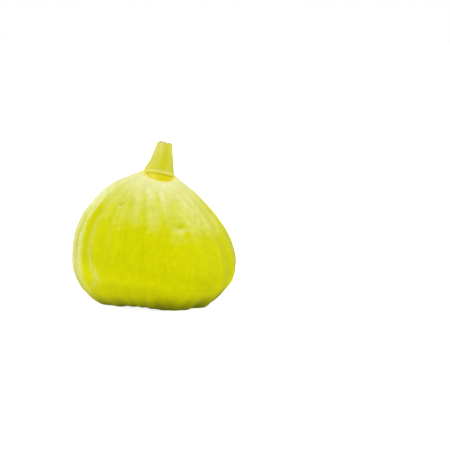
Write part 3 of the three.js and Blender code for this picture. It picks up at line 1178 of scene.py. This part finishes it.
    def between_ribs(self, s: Values, at_crest: Values) -> Values:
        """Runs straight between values that are set at the crests.

        Args:
            s: The place among the ribs.
            at_crest: The value at each crest.

        Returns:
            The value at s.
        """
        rib = np.floor(s).astype(int)
        return mix(at_crest[rib % self.rib_count], at_crest[(rib + 1) % self.rib_count], s - rib)

    def rib_azimuth(self, s: Values, v: Values) -> Values:
        """Gives the azimuth of a column before the ribs gather or twist.

        Args:
            s: The place among the ribs.
            v: The share of the profile.

        Returns:
            The azimuth.
        """
        ribs = np.arange(self.rib_count)
        uneven = self.rib_uneven_spacing * (2 * draw(ribs, self.spacing_seed) - 1)
        phase = draw(ribs, self.wander_seed)
        rib = np.floor(s).astype(int)
        sides = []
        for step in (0, 1):
            i = (rib + step) % self.rib_count
            wander = self.rib_wander * np.sin(TURN * (self.rib_wander_waves * v + phase[i]))
            sides.append((rib + step) / self.rib_count * TURN + self.rib_start + uneven[i] + wander)
        return mix(sides[0], sides[1], s - rib)

    def gathered(self, azimuth: Values, v: Values) -> Values:
        """Gathers the ribs towards the front low down and twists them at the neck.

        Args:
            azimuth: The azimuth before.
            v: The share of the profile.

        Returns:
            The azimuth after.
        """
        gather = self.rib_gather * np.sin(azimuth - self.rib_gather_azimuth)
        gather = gather * (1 - smoothstep(v, *self.rib_gather_end))
        twist = self.neck_twist * smoothstep(v, *self.neck_twist_rows)
        return azimuth - (gather + twist) * np.cos(azimuth / 2) ** 2

    def crests(self, s: Values) -> Values:
        """Gives 1 on a crest and 0 in the valley beside it."""
        return ((1 + np.cos(TURN * (s - np.floor(s)))) / 2) ** self.rib_sharpness

    def boldness(self, s: Values, azimuth: Values) -> Values:
        """Gives how bold the ribs are: each has its own share, and the front right side has less.

        Args:
            s: The place among the ribs.
            azimuth: The azimuth there.

        Returns:
            A share from 0 to 1.
        """
        own = (1 + draw(np.arange(self.rib_count), self.boldness_seed)) / 2
        side = 1 - self.smooth_side_loss * np.cos((azimuth - self.smooth_side) / 2) ** 4
        return self.between_ribs(s, own) * side

    def rib_height(self, s: Values, v: Values, azimuth: Values) -> Values:
        """Gives how far the ribs lift the skin off the plump form, or sink it where negative.

        Args:
            s: The place among the ribs.
            v: The share of the profile.
            azimuth: The azimuth there, before gathering.

        Returns:
            The lift.
        """
        main = self.crests(s) - self.rib_crest_level
        fine = self.fine_rib_relief * np.cos(2 * TURN * (s - np.floor(s)))
        fine = fine * (1 - smoothstep(v, *self.fine_rib_end))
        fine = fine * mix(self.foot_calm, 1.0, smoothstep(v, *self.foot_calm_rows))
        grown = mix(self.rib_start_share, 1.0, smoothstep(v, *self.rib_swell_rows))
        fade = (1 - smoothstep(v, *self.rib_end)) * grown
        relief = self.rib_relief * self.boldness(s, azimuth) * fade
        return relief * (main + fine) * self.filled(v, azimuth)

    def filled(self, v: Values, azimuth: Values) -> Values:
        """Gives how much of the ribs' relief is left where flesh fills the valleys in front.

        Args:
            v: The share of the profile.
            azimuth: The azimuth, before gathering.

        Returns:
            The share that is left.
        """
        front = 1 - smoothstep(np.abs(away_from(azimuth, self.plump_azimuth)), *self.plump_sides)
        crown = smoothstep(v, *self.plump_crown_rows) * self.plump_crown
        low = mix(self.pleat_boost, 1 - self.plump_front, smoothstep(v, *self.plump_front_rows))
        return mix(1.0, low, front) * (1 - crown)

    def settle(self, height: Values) -> Values:
        """Settles a height on the rest level, with a rounded edge round the flat.

        Args:
            height: The height before.

        Returns:
            The height over the ground.
        """
        z = height - self.rest_level
        rounded = (z + self.rest_rounding) ** 2 / (4 * self.rest_rounding)
        return np.where(z <= -self.rest_rounding, 0.0, np.where(z < self.rest_rounding, rounded, z))

    def skin(self, s: Values, v: Values, extra: Values | float = 0.0) -> Values:
        """Gives points of the skin.

        Args:
            s: The place among the ribs.
            v: The share of the profile.
            extra: A lift of the skin's own, on top of the ribs and lobes.

        Returns:
            The points, with x, y and z on the last axis.
        """
        stations = np.array(self.profile)
        around = self.rib_azimuth(s, v)
        azimuth = self.gathered(around, v)
        lobe = self.lobe_height * np.cos(self.lobes * (azimuth - self.lobe_azimuth))
        lobe = lobe * smoothstep(v, *self.lobe_start) * (1 - smoothstep(v, *self.lobe_end))
        lift = self.rib_height(s, v, around) + lobe + extra
        plump = spline(stations, v)
        nudge = 1e-4
        along = spline(stations, v + nudge) - spline(stations, v - nudge)
        along = along / np.linalg.norm(along, axis=-1, keepdims=True)
        radius = plump[..., 0] + lift * along[..., 1]
        height = plump[..., 1] - lift * along[..., 0]
        x = radius * np.sin(azimuth)
        y = -radius * np.cos(azimuth)
        right = mix(self.base_share, 1.0, smoothstep(height, *self.slump_right_heights)) * self.slump_right
        front = smoothstep(height, *self.slump_front_heights) * self.slump_front
        z = self.settle(height - right * x + front * y)
        neck = smoothstep(v, *self.neck_rows)
        x = x + self.crown_shift * smoothstep(height, *self.crown_heights) + self.neck_shift[0] * neck
        y = y + self.neck_shift[1] * neck
        front_wave = np.sin(2 * (azimuth - self.collar_wave_azimuth)) * np.cos(azimuth / 2) ** 2
        z = z - self.collar_wave_height * front_wave * smoothstep(v, *self.collar_wave_rows)
        rise = self.rim_rise * bell(away_from(azimuth, self.rim_rise_azimuth), self.rim_rise_half_width)
        return np.stack([x, y, z + rise * smoothstep(v, *self.rim_rise_rows)], -1)

    def point_at(self, azimuth: float, v: float) -> Values:
        """Finds the point of the skin at an azimuth and a row.

        Args:
            azimuth: The azimuth, after gathering.
            v: The row.

        Returns:
            The point.
        """
        steps_per_rib = 64
        s = np.linspace(0, self.rib_count, self.rib_count * steps_per_rib, endpoint=False)
        found = self.gathered(self.rib_azimuth(s, np.full_like(s, v)), v)
        best = s[np.argmin(np.abs(away_from(found, azimuth)))]
        return self.skin(np.array([best]), np.array([v]))[0]

    def dent_marks(self, points: Values) -> tuple[Values, Values, Values]:
        """Works out the dents over the whole skin.

        Args:
            points: The skin without its dents.

        Returns:
            The lift that they give, the mask of their floors, and the mask of their welts.
        """
        shapes = [dent.shape(points, self.point_at(dent.azimuth, dent.share)) for dent in self.dents]
        lifts, floors, welts = (np.stack(parts) for parts in zip(*shapes))
        return lifts.sum(0), floors.max(0), welts.max(0)

    def wild_frost(self, i: int) -> WaxSheenPatch:
        """Draws one of the patches over the back.

        Args:
            i: Which one.

        Returns:
            The patch.
        """
        rib, share, width, height, slant = (draw(i * 5.0 + k, self.wild_seed) for k in range(5))
        place = mix(*self.wild_places, rib), mix(*self.wild_shares, share)
        half_sizes = mix(*self.wild_half_widths, width), mix(*self.wild_half_heights, height)
        amount = mix(*self.wild_amounts, width) * (-1 if i % 2 else 1)
        return WaxSheenPatch(*place, *half_sizes, amount, self.wild_slant * slant)

    def wax_sheen_sum(self, s: Values, v: Values) -> Values:
        """Gives how much wax and painted sheen the patches add: those listed, and wild ones over the back."""
        wild = [self.wild_frost(i) for i in range(self.wild_frosts)]
        return sum(wax_sheen.over(s, v, self.rib_count) for wax_sheen in (*self.wax_sheen_patches, *wild))

    def surface(self, s: Values, v: Values) -> tuple[Values, dict[str, Values]]:
        """Works out the whole skin, with what its finish reads.

        Args:
            s: The place among the ribs.
            v: The share of the profile.

        Returns:
            The points, and the marks by name.
        """
        around = self.rib_azimuth(s, v)
        azimuth = self.gathered(around, v)
        plain = self.skin(s, v)
        calm = smoothstep(v, *self.lump_start) * (1 - smoothstep(v, *self.lump_end))
        lumps = self.lump_height * noise_at(plain, self.lump_width, self.lump_seed)
        ripple = self.ripple_height * noise_at(plain, self.ripple_width, self.ripple_seed)
        dent_lift, hollow, welt = self.dent_marks(plain)
        swelling = sum(swell.over(azimuth, v) for swell in self.swells)
        banks = [(bank, bell(away_from(azimuth, bank.azimuth), bank.half_width)) for bank in self.banks]
        foot = sum(bank.foot * here for bank, here in banks)
        low = sum(bank.low * here for bank, here in banks)
        across = self.grain_radius
        marks = {
            "share": v,
            "rib": self.rib_mask(s, v),
            "hollow": hollow,
            "welt": welt,
            "wax_sheen": self.wax_sheen_sum(s, v),
            # footing places the painted shade round the foot and the lower edge of the painted light band;
            # the next mark places the band's upper edge.
            "footing": v - self.footing_tilt * np.sin(azimuth) + foot,
            "lit_band_share": v + low,
            "grain": np.stack([across * np.sin(around), -across * np.cos(around), self.grain_length * v], -1),
        }
        return self.skin(s, v, (lumps + ripple) * calm + dent_lift + swelling), marks

    def build(self, shift: Vector, finish: SkinFinish, effects: Effects) -> bpy.types.Object:
        """Builds the fruit and dresses it.

        Args:
            shift: Moves the fruit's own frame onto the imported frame, in millimetres.
            finish: The skin's finish.
            effects: The shared effects.

        Returns:
            The fruit.
        """
        columns = self.rib_count * self.columns_per_rib
        rows = np.arange(self.rows + 1) / self.rows
        v, s = np.meshgrid(rows, np.arange(columns) / self.columns_per_rib, indexing="ij")
        points, marks = self.surface(s, v)
        bare = {"rib": 0.5, "hollow": 0.0, "welt": 0.0, "wax_sheen": 0.0}

        loft = Loft()
        eye = dict(bare, share=0.0, footing=0.0, lit_band_share=0.0, grain=marks["grain"][0])
        for row in range(self.eye_rows):
            radius = mix(self.eye_hub, self.eye_grip, row / self.eye_rows)
            loft.add(level_ring(radius, self.eye_floor, columns), **eye)
        for part in self.eye_wall:
            ring = level_ring(self.eye_grip, self.eye_floor, columns)
            ring = mix(ring, points[0], part**self.eye_wall_flare)
            ring[:, 2] = mix(self.eye_floor, points[0][:, 2], part)
            loft.add(ring, **eye)
        loft.add_rows(points, marks)
        self.add_socket(loft, points[-1], dict(bare, footing=1.0, lit_band_share=1.0, grain=marks["grain"][-1]))
        made = loft.build("fig_fruit", shift)
        made.data.materials.append(finish.material(effects))
        return made

    def add_socket(self, loft: Loft, rim: Values, marks: dict[str, Values | float]) -> None:
        """Adds the collar's inner slope, open towards the front, and the socket under it.

        Args:
            loft: The skin so far.
            rim: The rim of the collar.
            marks: What the finish reads there, but for the share of the profile.
        """
        spoke = rim[:, :2] - np.array(self.collar_centre)
        from_open = np.arctan2(spoke[:, 0], -spoke[:, 1]) - self.opening_azimuth
        open_share = bell(from_open, self.opening_half_width, 4)
        rim_radius, last_radius = self.profile[-1][0], self.collar_slope[-1][0]
        for step, (radius, drop) in enumerate(self.collar_slope):
            rise = self.closed_rise * (rim_radius - radius) / (rim_radius - last_radius)
            ring = self.towards_collar(rim, radius, rim[:, 2] + mix(rise, -drop, open_share))
            share = 1 + self.socket_share_step * (step + 1) * open_share
            loft.add(ring, share=share, **marks)
        foot = self.towards_collar(rim, last_radius, self.socket_floor)
        for row in range(1, self.socket_rows + 1):
            loft.add(mix(ring, foot, row / self.socket_rows), share=share, **marks)

    def towards_collar(self, ring: Values, radius: float, height: Values | float) -> Values:
        """Draws a ring in or out to a circle about the collar.

        Args:
            ring: The ring.
            radius: The circle's radius.
            height: The new height.

        Returns:
            The new ring.
        """
        centre = np.array(self.collar_centre)
        spoke = ring[:, :2] - centre
        spoke = spoke / np.linalg.norm(spoke, axis=1, keepdims=True) * radius + centre
        return np.column_stack([spoke, np.broadcast_to(height, len(ring))])

    def rib_mask(self, s: Values, v: Values) -> Values:
        """Marks the ribs, calmer where they are low.

        Args:
            s: The place among the ribs.
            v: The share of the profile.

        Returns:
            1 on a bold crest and 0 in the valley beside it.
        """
        around = self.rib_azimuth(s, v)
        calm = np.sqrt(self.boldness(s, around)) * np.minimum(self.filled(v, around), 1.0)
        return 0.5 + (self.crests(s) - 0.5) * calm


# ---------------------------------------------------------------- stalk


@dataclass
class Stalk:
    """The cut stalk: a foot in the socket, a flared lip, a furrowed stem and a dished cut. Millimetres.

    Attributes:
        sections: Height, radius, centre x, share of tilt and flare of the front, from the foot up.
        cut_sections: The same, from the rim of the cut inwards.
        strands: Number, relief and phase of each set of fine strands.
    """

    sections: tuple = (
        (38.0, 4.48, 2.05, 0.0, 0.0),
        (39.0, 4.52, 2.05, 0.3, 0.0),
        (39.5, 4.5, 2.08, 0.8, 0.0),
        (39.85, 4.44, 2.1, 1.0, 0.02),
        (40.2, 4.5, 2.12, 1.0, 0.24),
        (40.6, 4.54, 2.14, 1.0, 0.38),
        (41.35, 4.6, 2.24, 1.0, 0.2),
        (42.05, 4.62, 2.42, 1.0, 0.05),
        (42.85, 4.42, 2.65, 0.9, 0.0),
        (43.95, 4.04, 2.93, 0.8, 0.0),
        (45.35, 3.59, 3.23, 0.7, 0.0),
        (46.95, 3.16, 3.48, 0.6, 0.0),
        (48.5, 2.78, 3.74, 0.6, 0.0),
        (50.0, 2.42, 3.98, 0.6, 0.0),
        (50.5, 2.32, 4.05, 0.6, 0.0),
    )
    cut_sections: tuple = (
        (50.7, 2.24, 4.07, 0.6, 0.0),
        (50.78, 2.1, 4.08, 0.6, 0.0),
        (50.72, 1.92, 4.08, 0.6, 0.0),
        (50.6, 1.58, 4.08, 0.6, 0.0),
        (50.5, 1.05, 4.08, 0.6, 0.0),
        (50.5, 0.52, 4.08, 0.6, 0.0),
        (50.52, 0.2, 4.08, 0.6, 0.0),
    )
    centre_y: float = -1.5
    foot: float = 38.0
    lip_height: float = 41.6
    top_height: float = 49.0
    tilt_right: float = -0.164
    lip_arch: float = 1.47
    ridges: int = 9
    ridge_relief: float = 0.1
    ridge_twist: float = 0.15
    ovalness: float = 0.035
    oval_twist: float = 0.3
    nub_height: float = 0.38
    nub_azimuth: float = math.radians(-140)
    strands: tuple = ((14, 0.03, 0.8), (23, 0.02, 2.1), (37, 0.012, 4.0))
    strand_start: float = 1.5
    flare_sides: Span = (-0.9, -0.1)
    # The band fields place painted shade down the stalk's front, right of the middle, and round the right of
    # the neck.
    band_azimuth: float = math.radians(12)
    band_twist: float = math.radians(0.8)
    band_width: float = math.radians(30)
    band_start: Span = (3.0, 4.4)
    neck_band_end: float = 2.3
    neck_band_edge: Span = (-0.7, 0.1)
    flank_azimuth: float = math.radians(-34)
    flank_width: float = math.radians(13)
    columns: int = 216
    rows_per_section: int = 9
    rows_per_cut_section: int = 3
    cut_radius: float = 2.22
    cut_edge: Span = (0.1, 0.3)
    knobble: float = 0.05
    knobble_width: float = 0.5
    knobble_seed: float = 21.0
    grain_radius: float = 3.6
    grain_rise: float = 0.08

    def wall(self, section: Values, azimuth: Values) -> Values:
        """Gives points of the stalk's side or cut.

        Args:
            section: Height, radius, centre x, share of tilt and flare of the front.
            azimuth: The azimuths round it.

        Returns:
            The points.
        """
        height, radius, x, tilt, flare = section
        rise = height - self.foot
        stem = smoothstep(height, self.foot, self.lip_height)
        ridge = self.ridge_relief * np.cos(self.ridges * azimuth + self.ridge_twist * rise)
        bare = smoothstep(height, self.lip_height, self.lip_height + self.strand_start)
        for count, relief, phase in self.strands:
            ridge = ridge + bare * relief * np.cos(count * azimuth + phase + self.ridge_twist * rise)
        oval = self.ovalness * np.sin(2 * azimuth + self.oval_twist * rise)
        inner = np.minimum(radius / self.cut_sections[0][1], 1.0)
        flared = flare * smoothstep(np.cos(azimuth), *self.flare_sides)
        across = radius + flared + (radius * oval + ridge * inner) * stem
        out_x = across * np.sin(azimuth)
        out_y = -across * np.cos(azimuth)
        arch = self.lip_arch * (1 - smoothstep(height, self.lip_height, self.top_height))
        z = height + tilt * (self.tilt_right * out_x + arch * np.cos(azimuth / 2) ** 4)
        return np.stack([x + out_x, self.centre_y + out_y, z], -1)

    @staticmethod
    def along(sections: tuple, rows: int) -> Values:
        """Follows the sections smoothly, with so many rows from each to the next."""
        count = (len(sections) - 1) * rows + 1
        return spline(np.array(sections), np.arange(count) / (count - 1))

    def build(self, shift: Vector, finish: StalkFinish, effects: Effects) -> bpy.types.Object:
        """Builds the stalk and dresses it.

        Args:
            shift: Moves the fruit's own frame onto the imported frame, in millimetres.
            finish: The stalk's finish.
            effects: The shared effects.

        Returns:
            The stalk.
        """
        azimuth = np.arange(self.columns) / self.columns * TURN
        loft = Loft()
        for section in self.along(self.sections, self.rows_per_section):
            self.add_ring(loft, self.wall(section, azimuth), azimuth, section[0], 0.0)
        nub = self.nub_height * np.maximum(0.0, np.cos(azimuth - self.nub_azimuth)) ** 3
        for section in self.along(self.cut_sections, self.rows_per_cut_section):
            height, radius = section[:2]
            ring = self.wall(section, azimuth)
            ring[:, 2] += nub * radius / self.cut_sections[0][1]
            ring[:, 2] += self.knobble * noise_at(ring, self.knobble_width, self.knobble_seed)
            cut = smoothstep(self.cut_radius - radius, *self.cut_edge)
            self.add_ring(loft, ring, azimuth, height, float(cut))
        made = loft.build("fig_stalk", shift)
        made.data.materials.append(finish.material(effects))
        return made

    def add_ring(self, loft: Loft, ring: Values, azimuth: Values, height: float, cut: float) -> None:
        """Adds a ring to the stalk, with what its finish reads.

        Args:
            loft: The stalk so far.
            ring: The ring.
            azimuth: Its azimuths.
            height: The height of its section.
            cut: How far it belongs to the cut end.
        """
        rise = height - self.foot
        # furrow marks the grooves between the ridges, where the finish paints shade.
        furrow = 0.5 - 0.5 * np.cos(self.ridges * azimuth + self.ridge_twist * rise)
        grain = level_ring(self.grain_radius, self.grain_rise * rise, self.columns)
        # band marks painted shade down the front, right of the middle, and round the right of the neck.
        from_band = away_from(azimuth, self.band_azimuth + self.band_twist * rise)
        band = bell(from_band, self.band_width) * smoothstep(rise, *self.band_start)
        band = band + smoothstep(from_band, *self.neck_band_edge) * (rise < self.neck_band_end)
        flank = bell(away_from(azimuth, self.flank_azimuth), self.flank_width)
        loft.add(ring, rise=rise, furrow=furrow, band=band, flank=flank, cut=cut, grain=grain)


# ---------------------------------------------------------------- eye scales


@dataclass(frozen=True)
class BractRing:
    """A ring of bracts. Sizes in millimetres."""

    count: int
    radius: float
    length: float
    width: float
    drop: float
    lean: float


@dataclass
class EyeBracts:
    """The rosette of overlapping bracts that closes the eye. Sizes in millimetres."""

    plate_radius: float = 3.4
    plate_hub: float = 1.36
    plate_thickness: float = 0.7
    plate_bevel: float = 0.3
    rings: tuple[BractRing, ...] = (
        BractRing(8, 2.4, 2.9, 2.5, 1.1, math.radians(24)),
        BractRing(6, 1.55, 2.7, 2.2, 1.65, math.radians(20)),
        BractRing(4, 0.75, 2.1, 1.8, 2.1, math.radians(14)),
    )
    thickness: float = 0.75
    tip_narrowing: float = 0.45
    edge_start: Span = (0.3, 0.5)
    grain_stretch: tuple = (2.5, 0.3, 1.0)
    grain_step: int = 9
    roll: float = 0.12
    uneven_spacing: float = 0.25
    seed: int = 11
    eye_floor: float = 3.9
    columns: int = 36
    rows: int = 26

    def bract(self, ring: BractRing) -> tuple[Values, Values]:
        """Shapes one bract before it is turned into its place.

        Args:
            ring: The ring that it belongs to.

        Returns:
            Its points, row by row, and the same points inside a ball of radius one half.
        """
        polar = (np.arange(self.rows) + 0.5) / self.rows * math.pi
        around = np.arange(self.columns) / self.columns * TURN
        polar, around = np.meshgrid(polar, around, indexing="ij")
        ball = 0.5 * np.stack(
            [np.sin(polar) * np.sin(around), -np.cos(polar), np.sin(polar) * np.cos(around)], -1
        )
        inward = ball[..., 1] + 0.5
        narrow = 1 - self.tip_narrowing * inward**2
        x = ball[..., 0] * ring.width * narrow
        y = ball[..., 1] * ring.length
        z = ball[..., 2] * self.thickness * narrow
        return np.stack([x, y, z], -1), ball

    def turned(self, points: Values, ring: BractRing, level: int, i: int) -> Values:
        """Leans a bract over the eye and carries it to its place in the ring.

        Args:
            points: The bract's points.
            ring: The ring that it belongs to.
            level: The ring's place, from the outermost in.
            i: The bract's place in the ring.

        Returns:
            The moved points.
        """
        x, y, z = (points[..., axis] for axis in range(3))
        y, z = spun(y, z, -ring.lean)
        z, x = spun(z, x, self.roll)
        uneven = self.uneven_spacing * (draw(i, self.seed + level) - 0.5)
        turn = (i + 0.5 * level + uneven) / ring.count * TURN
        x, y = spun(x, y - ring.radius, turn)
        return np.stack([x, y, z + self.eye_floor - ring.drop], -1)

    def build(self, shift: Vector, finish: BractFinish, effects: Effects) -> bpy.types.Object:
        """Builds the rosette and dresses it.

        Args:
            shift: Moves the fruit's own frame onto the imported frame, in millimetres.
            finish: The scales' finish.
            effects: The shared effects.

        Returns:
            The rosette.
        """
        pieces = [self.plate(shift)]
        for level, ring in enumerate(self.rings):
            points, ball = self.bract(ring)
            marks = {
                "tip": ball[..., 1] + 0.5,
                "edge": smoothstep(np.abs(ball[..., 0]), *self.edge_start),
            }
            for i in range(ring.count):
                marks["grain"] = ball * self.grain_stretch + [0, 0, i + self.grain_step * level]
                loft = Loft()
                loft.add_rows(self.turned(points, ring, level, i), marks)
                pieces.append(loft.build(f"bract_{level}_{i}", shift))
        made = join(pieces, "eye_bracts")
        made.data.materials.append(finish.material(effects))
        return made

    def plate(self, shift: Vector) -> bpy.types.Object:
        """Builds the disc that the bracts grow from.

        Args:
            shift: Moves the fruit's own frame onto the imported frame, in millimetres.

        Returns:
            The disc.
        """
        low = self.eye_floor - self.plate_thickness
        loft = Loft()
        stations = (
            (self.plate_hub, low),
            (self.plate_radius - self.plate_bevel, low),
            (self.plate_radius - self.plate_bevel * 0.3, low + self.plate_bevel * 0.3),
            (self.plate_radius, low + self.plate_bevel),
            (self.plate_radius, self.eye_floor),
            (self.plate_hub, self.eye_floor),
        )
        for radius, height in stations:
            ring = level_ring(radius, height, self.columns)
            loft.add(ring, tip=0.0, edge=0.0, grain=ring * 0.5)
        return loft.build("bract_plate", shift)


def join(pieces: list[bpy.types.Object], name: str) -> bpy.types.Object:
    """Joins pieces into one object.

    Args:
        pieces: The pieces. The first one takes the others in.
        name: The name of the whole.

    Returns:
        The object.
    """
    with bpy.context.temp_override(active_object=pieces[0], selected_editable_objects=pieces):
        bpy.ops.object.join()
    pieces[0].name = name
    pieces[0].data.name = name
    return pieces[0]


# ---------------------------------------------------------------- studio


@dataclass(frozen=True)
class Softbox:
    """A square or oblong light panel. Sizes in metres, brightness as the panel's own radiance."""

    name: str
    place: tuple[float, float, float]
    size: tuple[float, float]
    radiance: float
    aim: tuple[float, float, float] = (0.0, 0.0, 0.02)

    def build(self) -> None:
        """Hangs the panel."""
        lamp = bpy.data.lights.new(self.name, "AREA")
        lamp.shape = "RECTANGLE"
        lamp.size, lamp.size_y = self.size
        lamp.energy = self.radiance * math.pi * self.size[0] * self.size[1]
        made = bpy.data.objects.new(self.name, lamp)
        made.location = self.place
        made.rotation_euler = (Vector(self.aim) - Vector(self.place)).to_track_quat("-Z", "Y").to_euler()
        made.visible_camera = False
        bpy.context.scene.collection.objects.link(made)


@dataclass
class Studio:
    """The white table, the panels over and round it, the pale surround and the camera."""

    camera_elevation: float = math.radians(9)
    camera_distance: float = 0.4
    camera_lens: float = 100.0
    camera_target: tuple[float, float, float] = (23.05, 0.0, 24.3)
    camera_reach: Span = (0.01, 50.0)
    table_radius: float = 6.0
    table_rings: int = 24
    table_columns: int = 96
    backdrop: float = 1.0
    surround: float = 0.62
    panels: tuple[Softbox, ...] = (
        Softbox("front_panel", (0.0, -1.3, 0.24), (1.8, 0.4), 3.3),
        Softbox("left_panel", (-1.3, 0.0, 0.45), (1.0, 0.9), 2.1),
        Softbox("right_panel", (1.3, -0.1, 0.5), (1.0, 0.9), 1.95),
        Softbox("rear_panel", (0.0, 1.3, 0.6), (1.6, 0.8), 1.5),
        Softbox("overhead_panel", (0.1, -0.1, 1.2), (1.4, 1.4), 0.3),
    )

    def build(self, shift: Vector, effects: Effects) -> None:
        """Sets everything up.

        Args:
            shift: Moves the fruit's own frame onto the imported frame, in millimetres.
            effects: The shared effects.
        """
        self.build_camera(shift)
        self.build_table(effects)
        self.build_surround()
        for panel in self.panels:
            panel.build()
        view = bpy.context.scene.view_settings
        view.view_transform = "Standard"
        view.look = "None"

    def build_camera(self, shift: Vector) -> None:
        """Stands the camera in front, a little above level, with the fruit left of the view's middle.

        Args:
            shift: Moves the fruit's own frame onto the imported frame, in millimetres.
        """
        lens = bpy.data.cameras.new("studio_camera")
        lens.lens = self.camera_lens
        lens.clip_start, lens.clip_end = self.camera_reach
        made = bpy.data.objects.new("studio_camera", lens)
        target = (Vector(self.camera_target) + shift) * MM
        away = Vector((0, -math.cos(self.camera_elevation), math.sin(self.camera_elevation)))
        made.location = target + away * self.camera_distance
        made.rotation_euler = away.to_track_quat("Z", "Y").to_euler()
        bpy.context.scene.collection.objects.link(made)
        bpy.context.scene.camera = made

    def build_table(self, effects: Effects) -> None:
        """Lays the round table under the fruit.

        Args:
            effects: The shared effects.
        """
        columns = self.table_columns
        radii = self.table_radius * ((np.arange(self.table_rings) + 1) / self.table_rings) ** 3
        around = np.arange(columns) / columns * TURN
        points = [(0.0, 0.0, 0.0)]
        points += [(r * math.cos(a), r * math.sin(a), 0.0) for r in radii for a in around]
        sides = [(1 + i, 1 + (i + 1) % columns) for i in range(columns)]
        faces = [(0, a, b) for a, b in sides]
        for first in range(0, (self.table_rings - 1) * columns, columns):
            faces += [(first + a, first + a + columns, first + b + columns, first + b) for a, b in sides]
        mesh = bpy.data.meshes.new("white_table")
        mesh.from_pydata(points, [], faces)
        table = bpy.data.objects.new("white_table", mesh)
        bpy.context.scene.collection.objects.link(table)
        mesh.materials.append(TableFinish().material(effects))

    def build_surround(self) -> None:
        """Gives a white backdrop, and a dimmer room round the table for the light."""
        world = bpy.data.worlds.new("pale_room")
        world.use_nodes = True
        bench = Bench(world.node_tree)
        seen = bench.node("ShaderNodeLightPath").outputs["Is Camera Ray"]
        room, backdrop = (
            bench.node("ShaderNodeBackground", {"Color": WHITE, "Strength": strength}).outputs[0]
            for strength in (self.surround, self.backdrop)
        )
        either = bench.node("ShaderNodeMixShader", (seen, room, backdrop)).outputs[0]
        bench.node("ShaderNodeOutputWorld", {"Surface": either})
        bpy.context.scene.world = world


# ---------------------------------------------------------------- the whole


def own_frame_shift(fruit: Fruit) -> Vector:
    """Finds what moves the fruit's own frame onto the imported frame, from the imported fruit's box.

    Args:
        fruit: The fruit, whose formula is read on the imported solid's own grid.

    Returns:
        The move, in millimetres.
    """
    rows = np.arange(PACKED_ROWS + 1) / PACKED_ROWS
    columns = np.arange(fruit.rib_count * PACKED_COLUMNS_PER_RIB) / PACKED_COLUMNS_PER_RIB
    v, s = np.meshgrid(rows, columns, indexing="ij")
    points = fruit.skin(s, v).reshape(-1, 3)
    own = (points.min(0) + points.max(0)) / 2
    low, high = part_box("fig_body")
    packed = (np.array(low) + np.array(high)) / 2 / MM
    return Vector((packed[0] - own[0], packed[1] - own[1], 0.0))


def place_piece(piece: bpy.types.Object, node: str, slot: str) -> None:
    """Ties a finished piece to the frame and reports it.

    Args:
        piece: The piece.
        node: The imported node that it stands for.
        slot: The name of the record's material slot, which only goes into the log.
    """
    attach(piece, BODY)
    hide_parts(node)
    LOG.info("%s stands for %s: %d faces, finish %s", piece.name, node, len(piece.data.polygons), slot)


def write_sizes() -> None:
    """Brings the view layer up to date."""
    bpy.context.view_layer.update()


def main() -> None:
    """Builds the studio and the fig's three pieces, in order."""
    logging.basicConfig(level=logging.INFO, format="%(name)s: %(message)s")
    effects = Effects()
    fruit = Fruit()
    shift = own_frame_shift(fruit)
    Studio().build(shift, effects)
    place_piece(fruit.build(shift, SkinFinish(), effects), "fig_body", "fruit_skin")
    place_piece(Stalk().build(shift, StalkFinish(), effects), "stalk", "green_stalk")
    place_piece(EyeBracts().build(shift, BractFinish(), effects), "eye_scales", "dry_bracts")
    write_sizes()


if __name__ == "__main__":
    main()
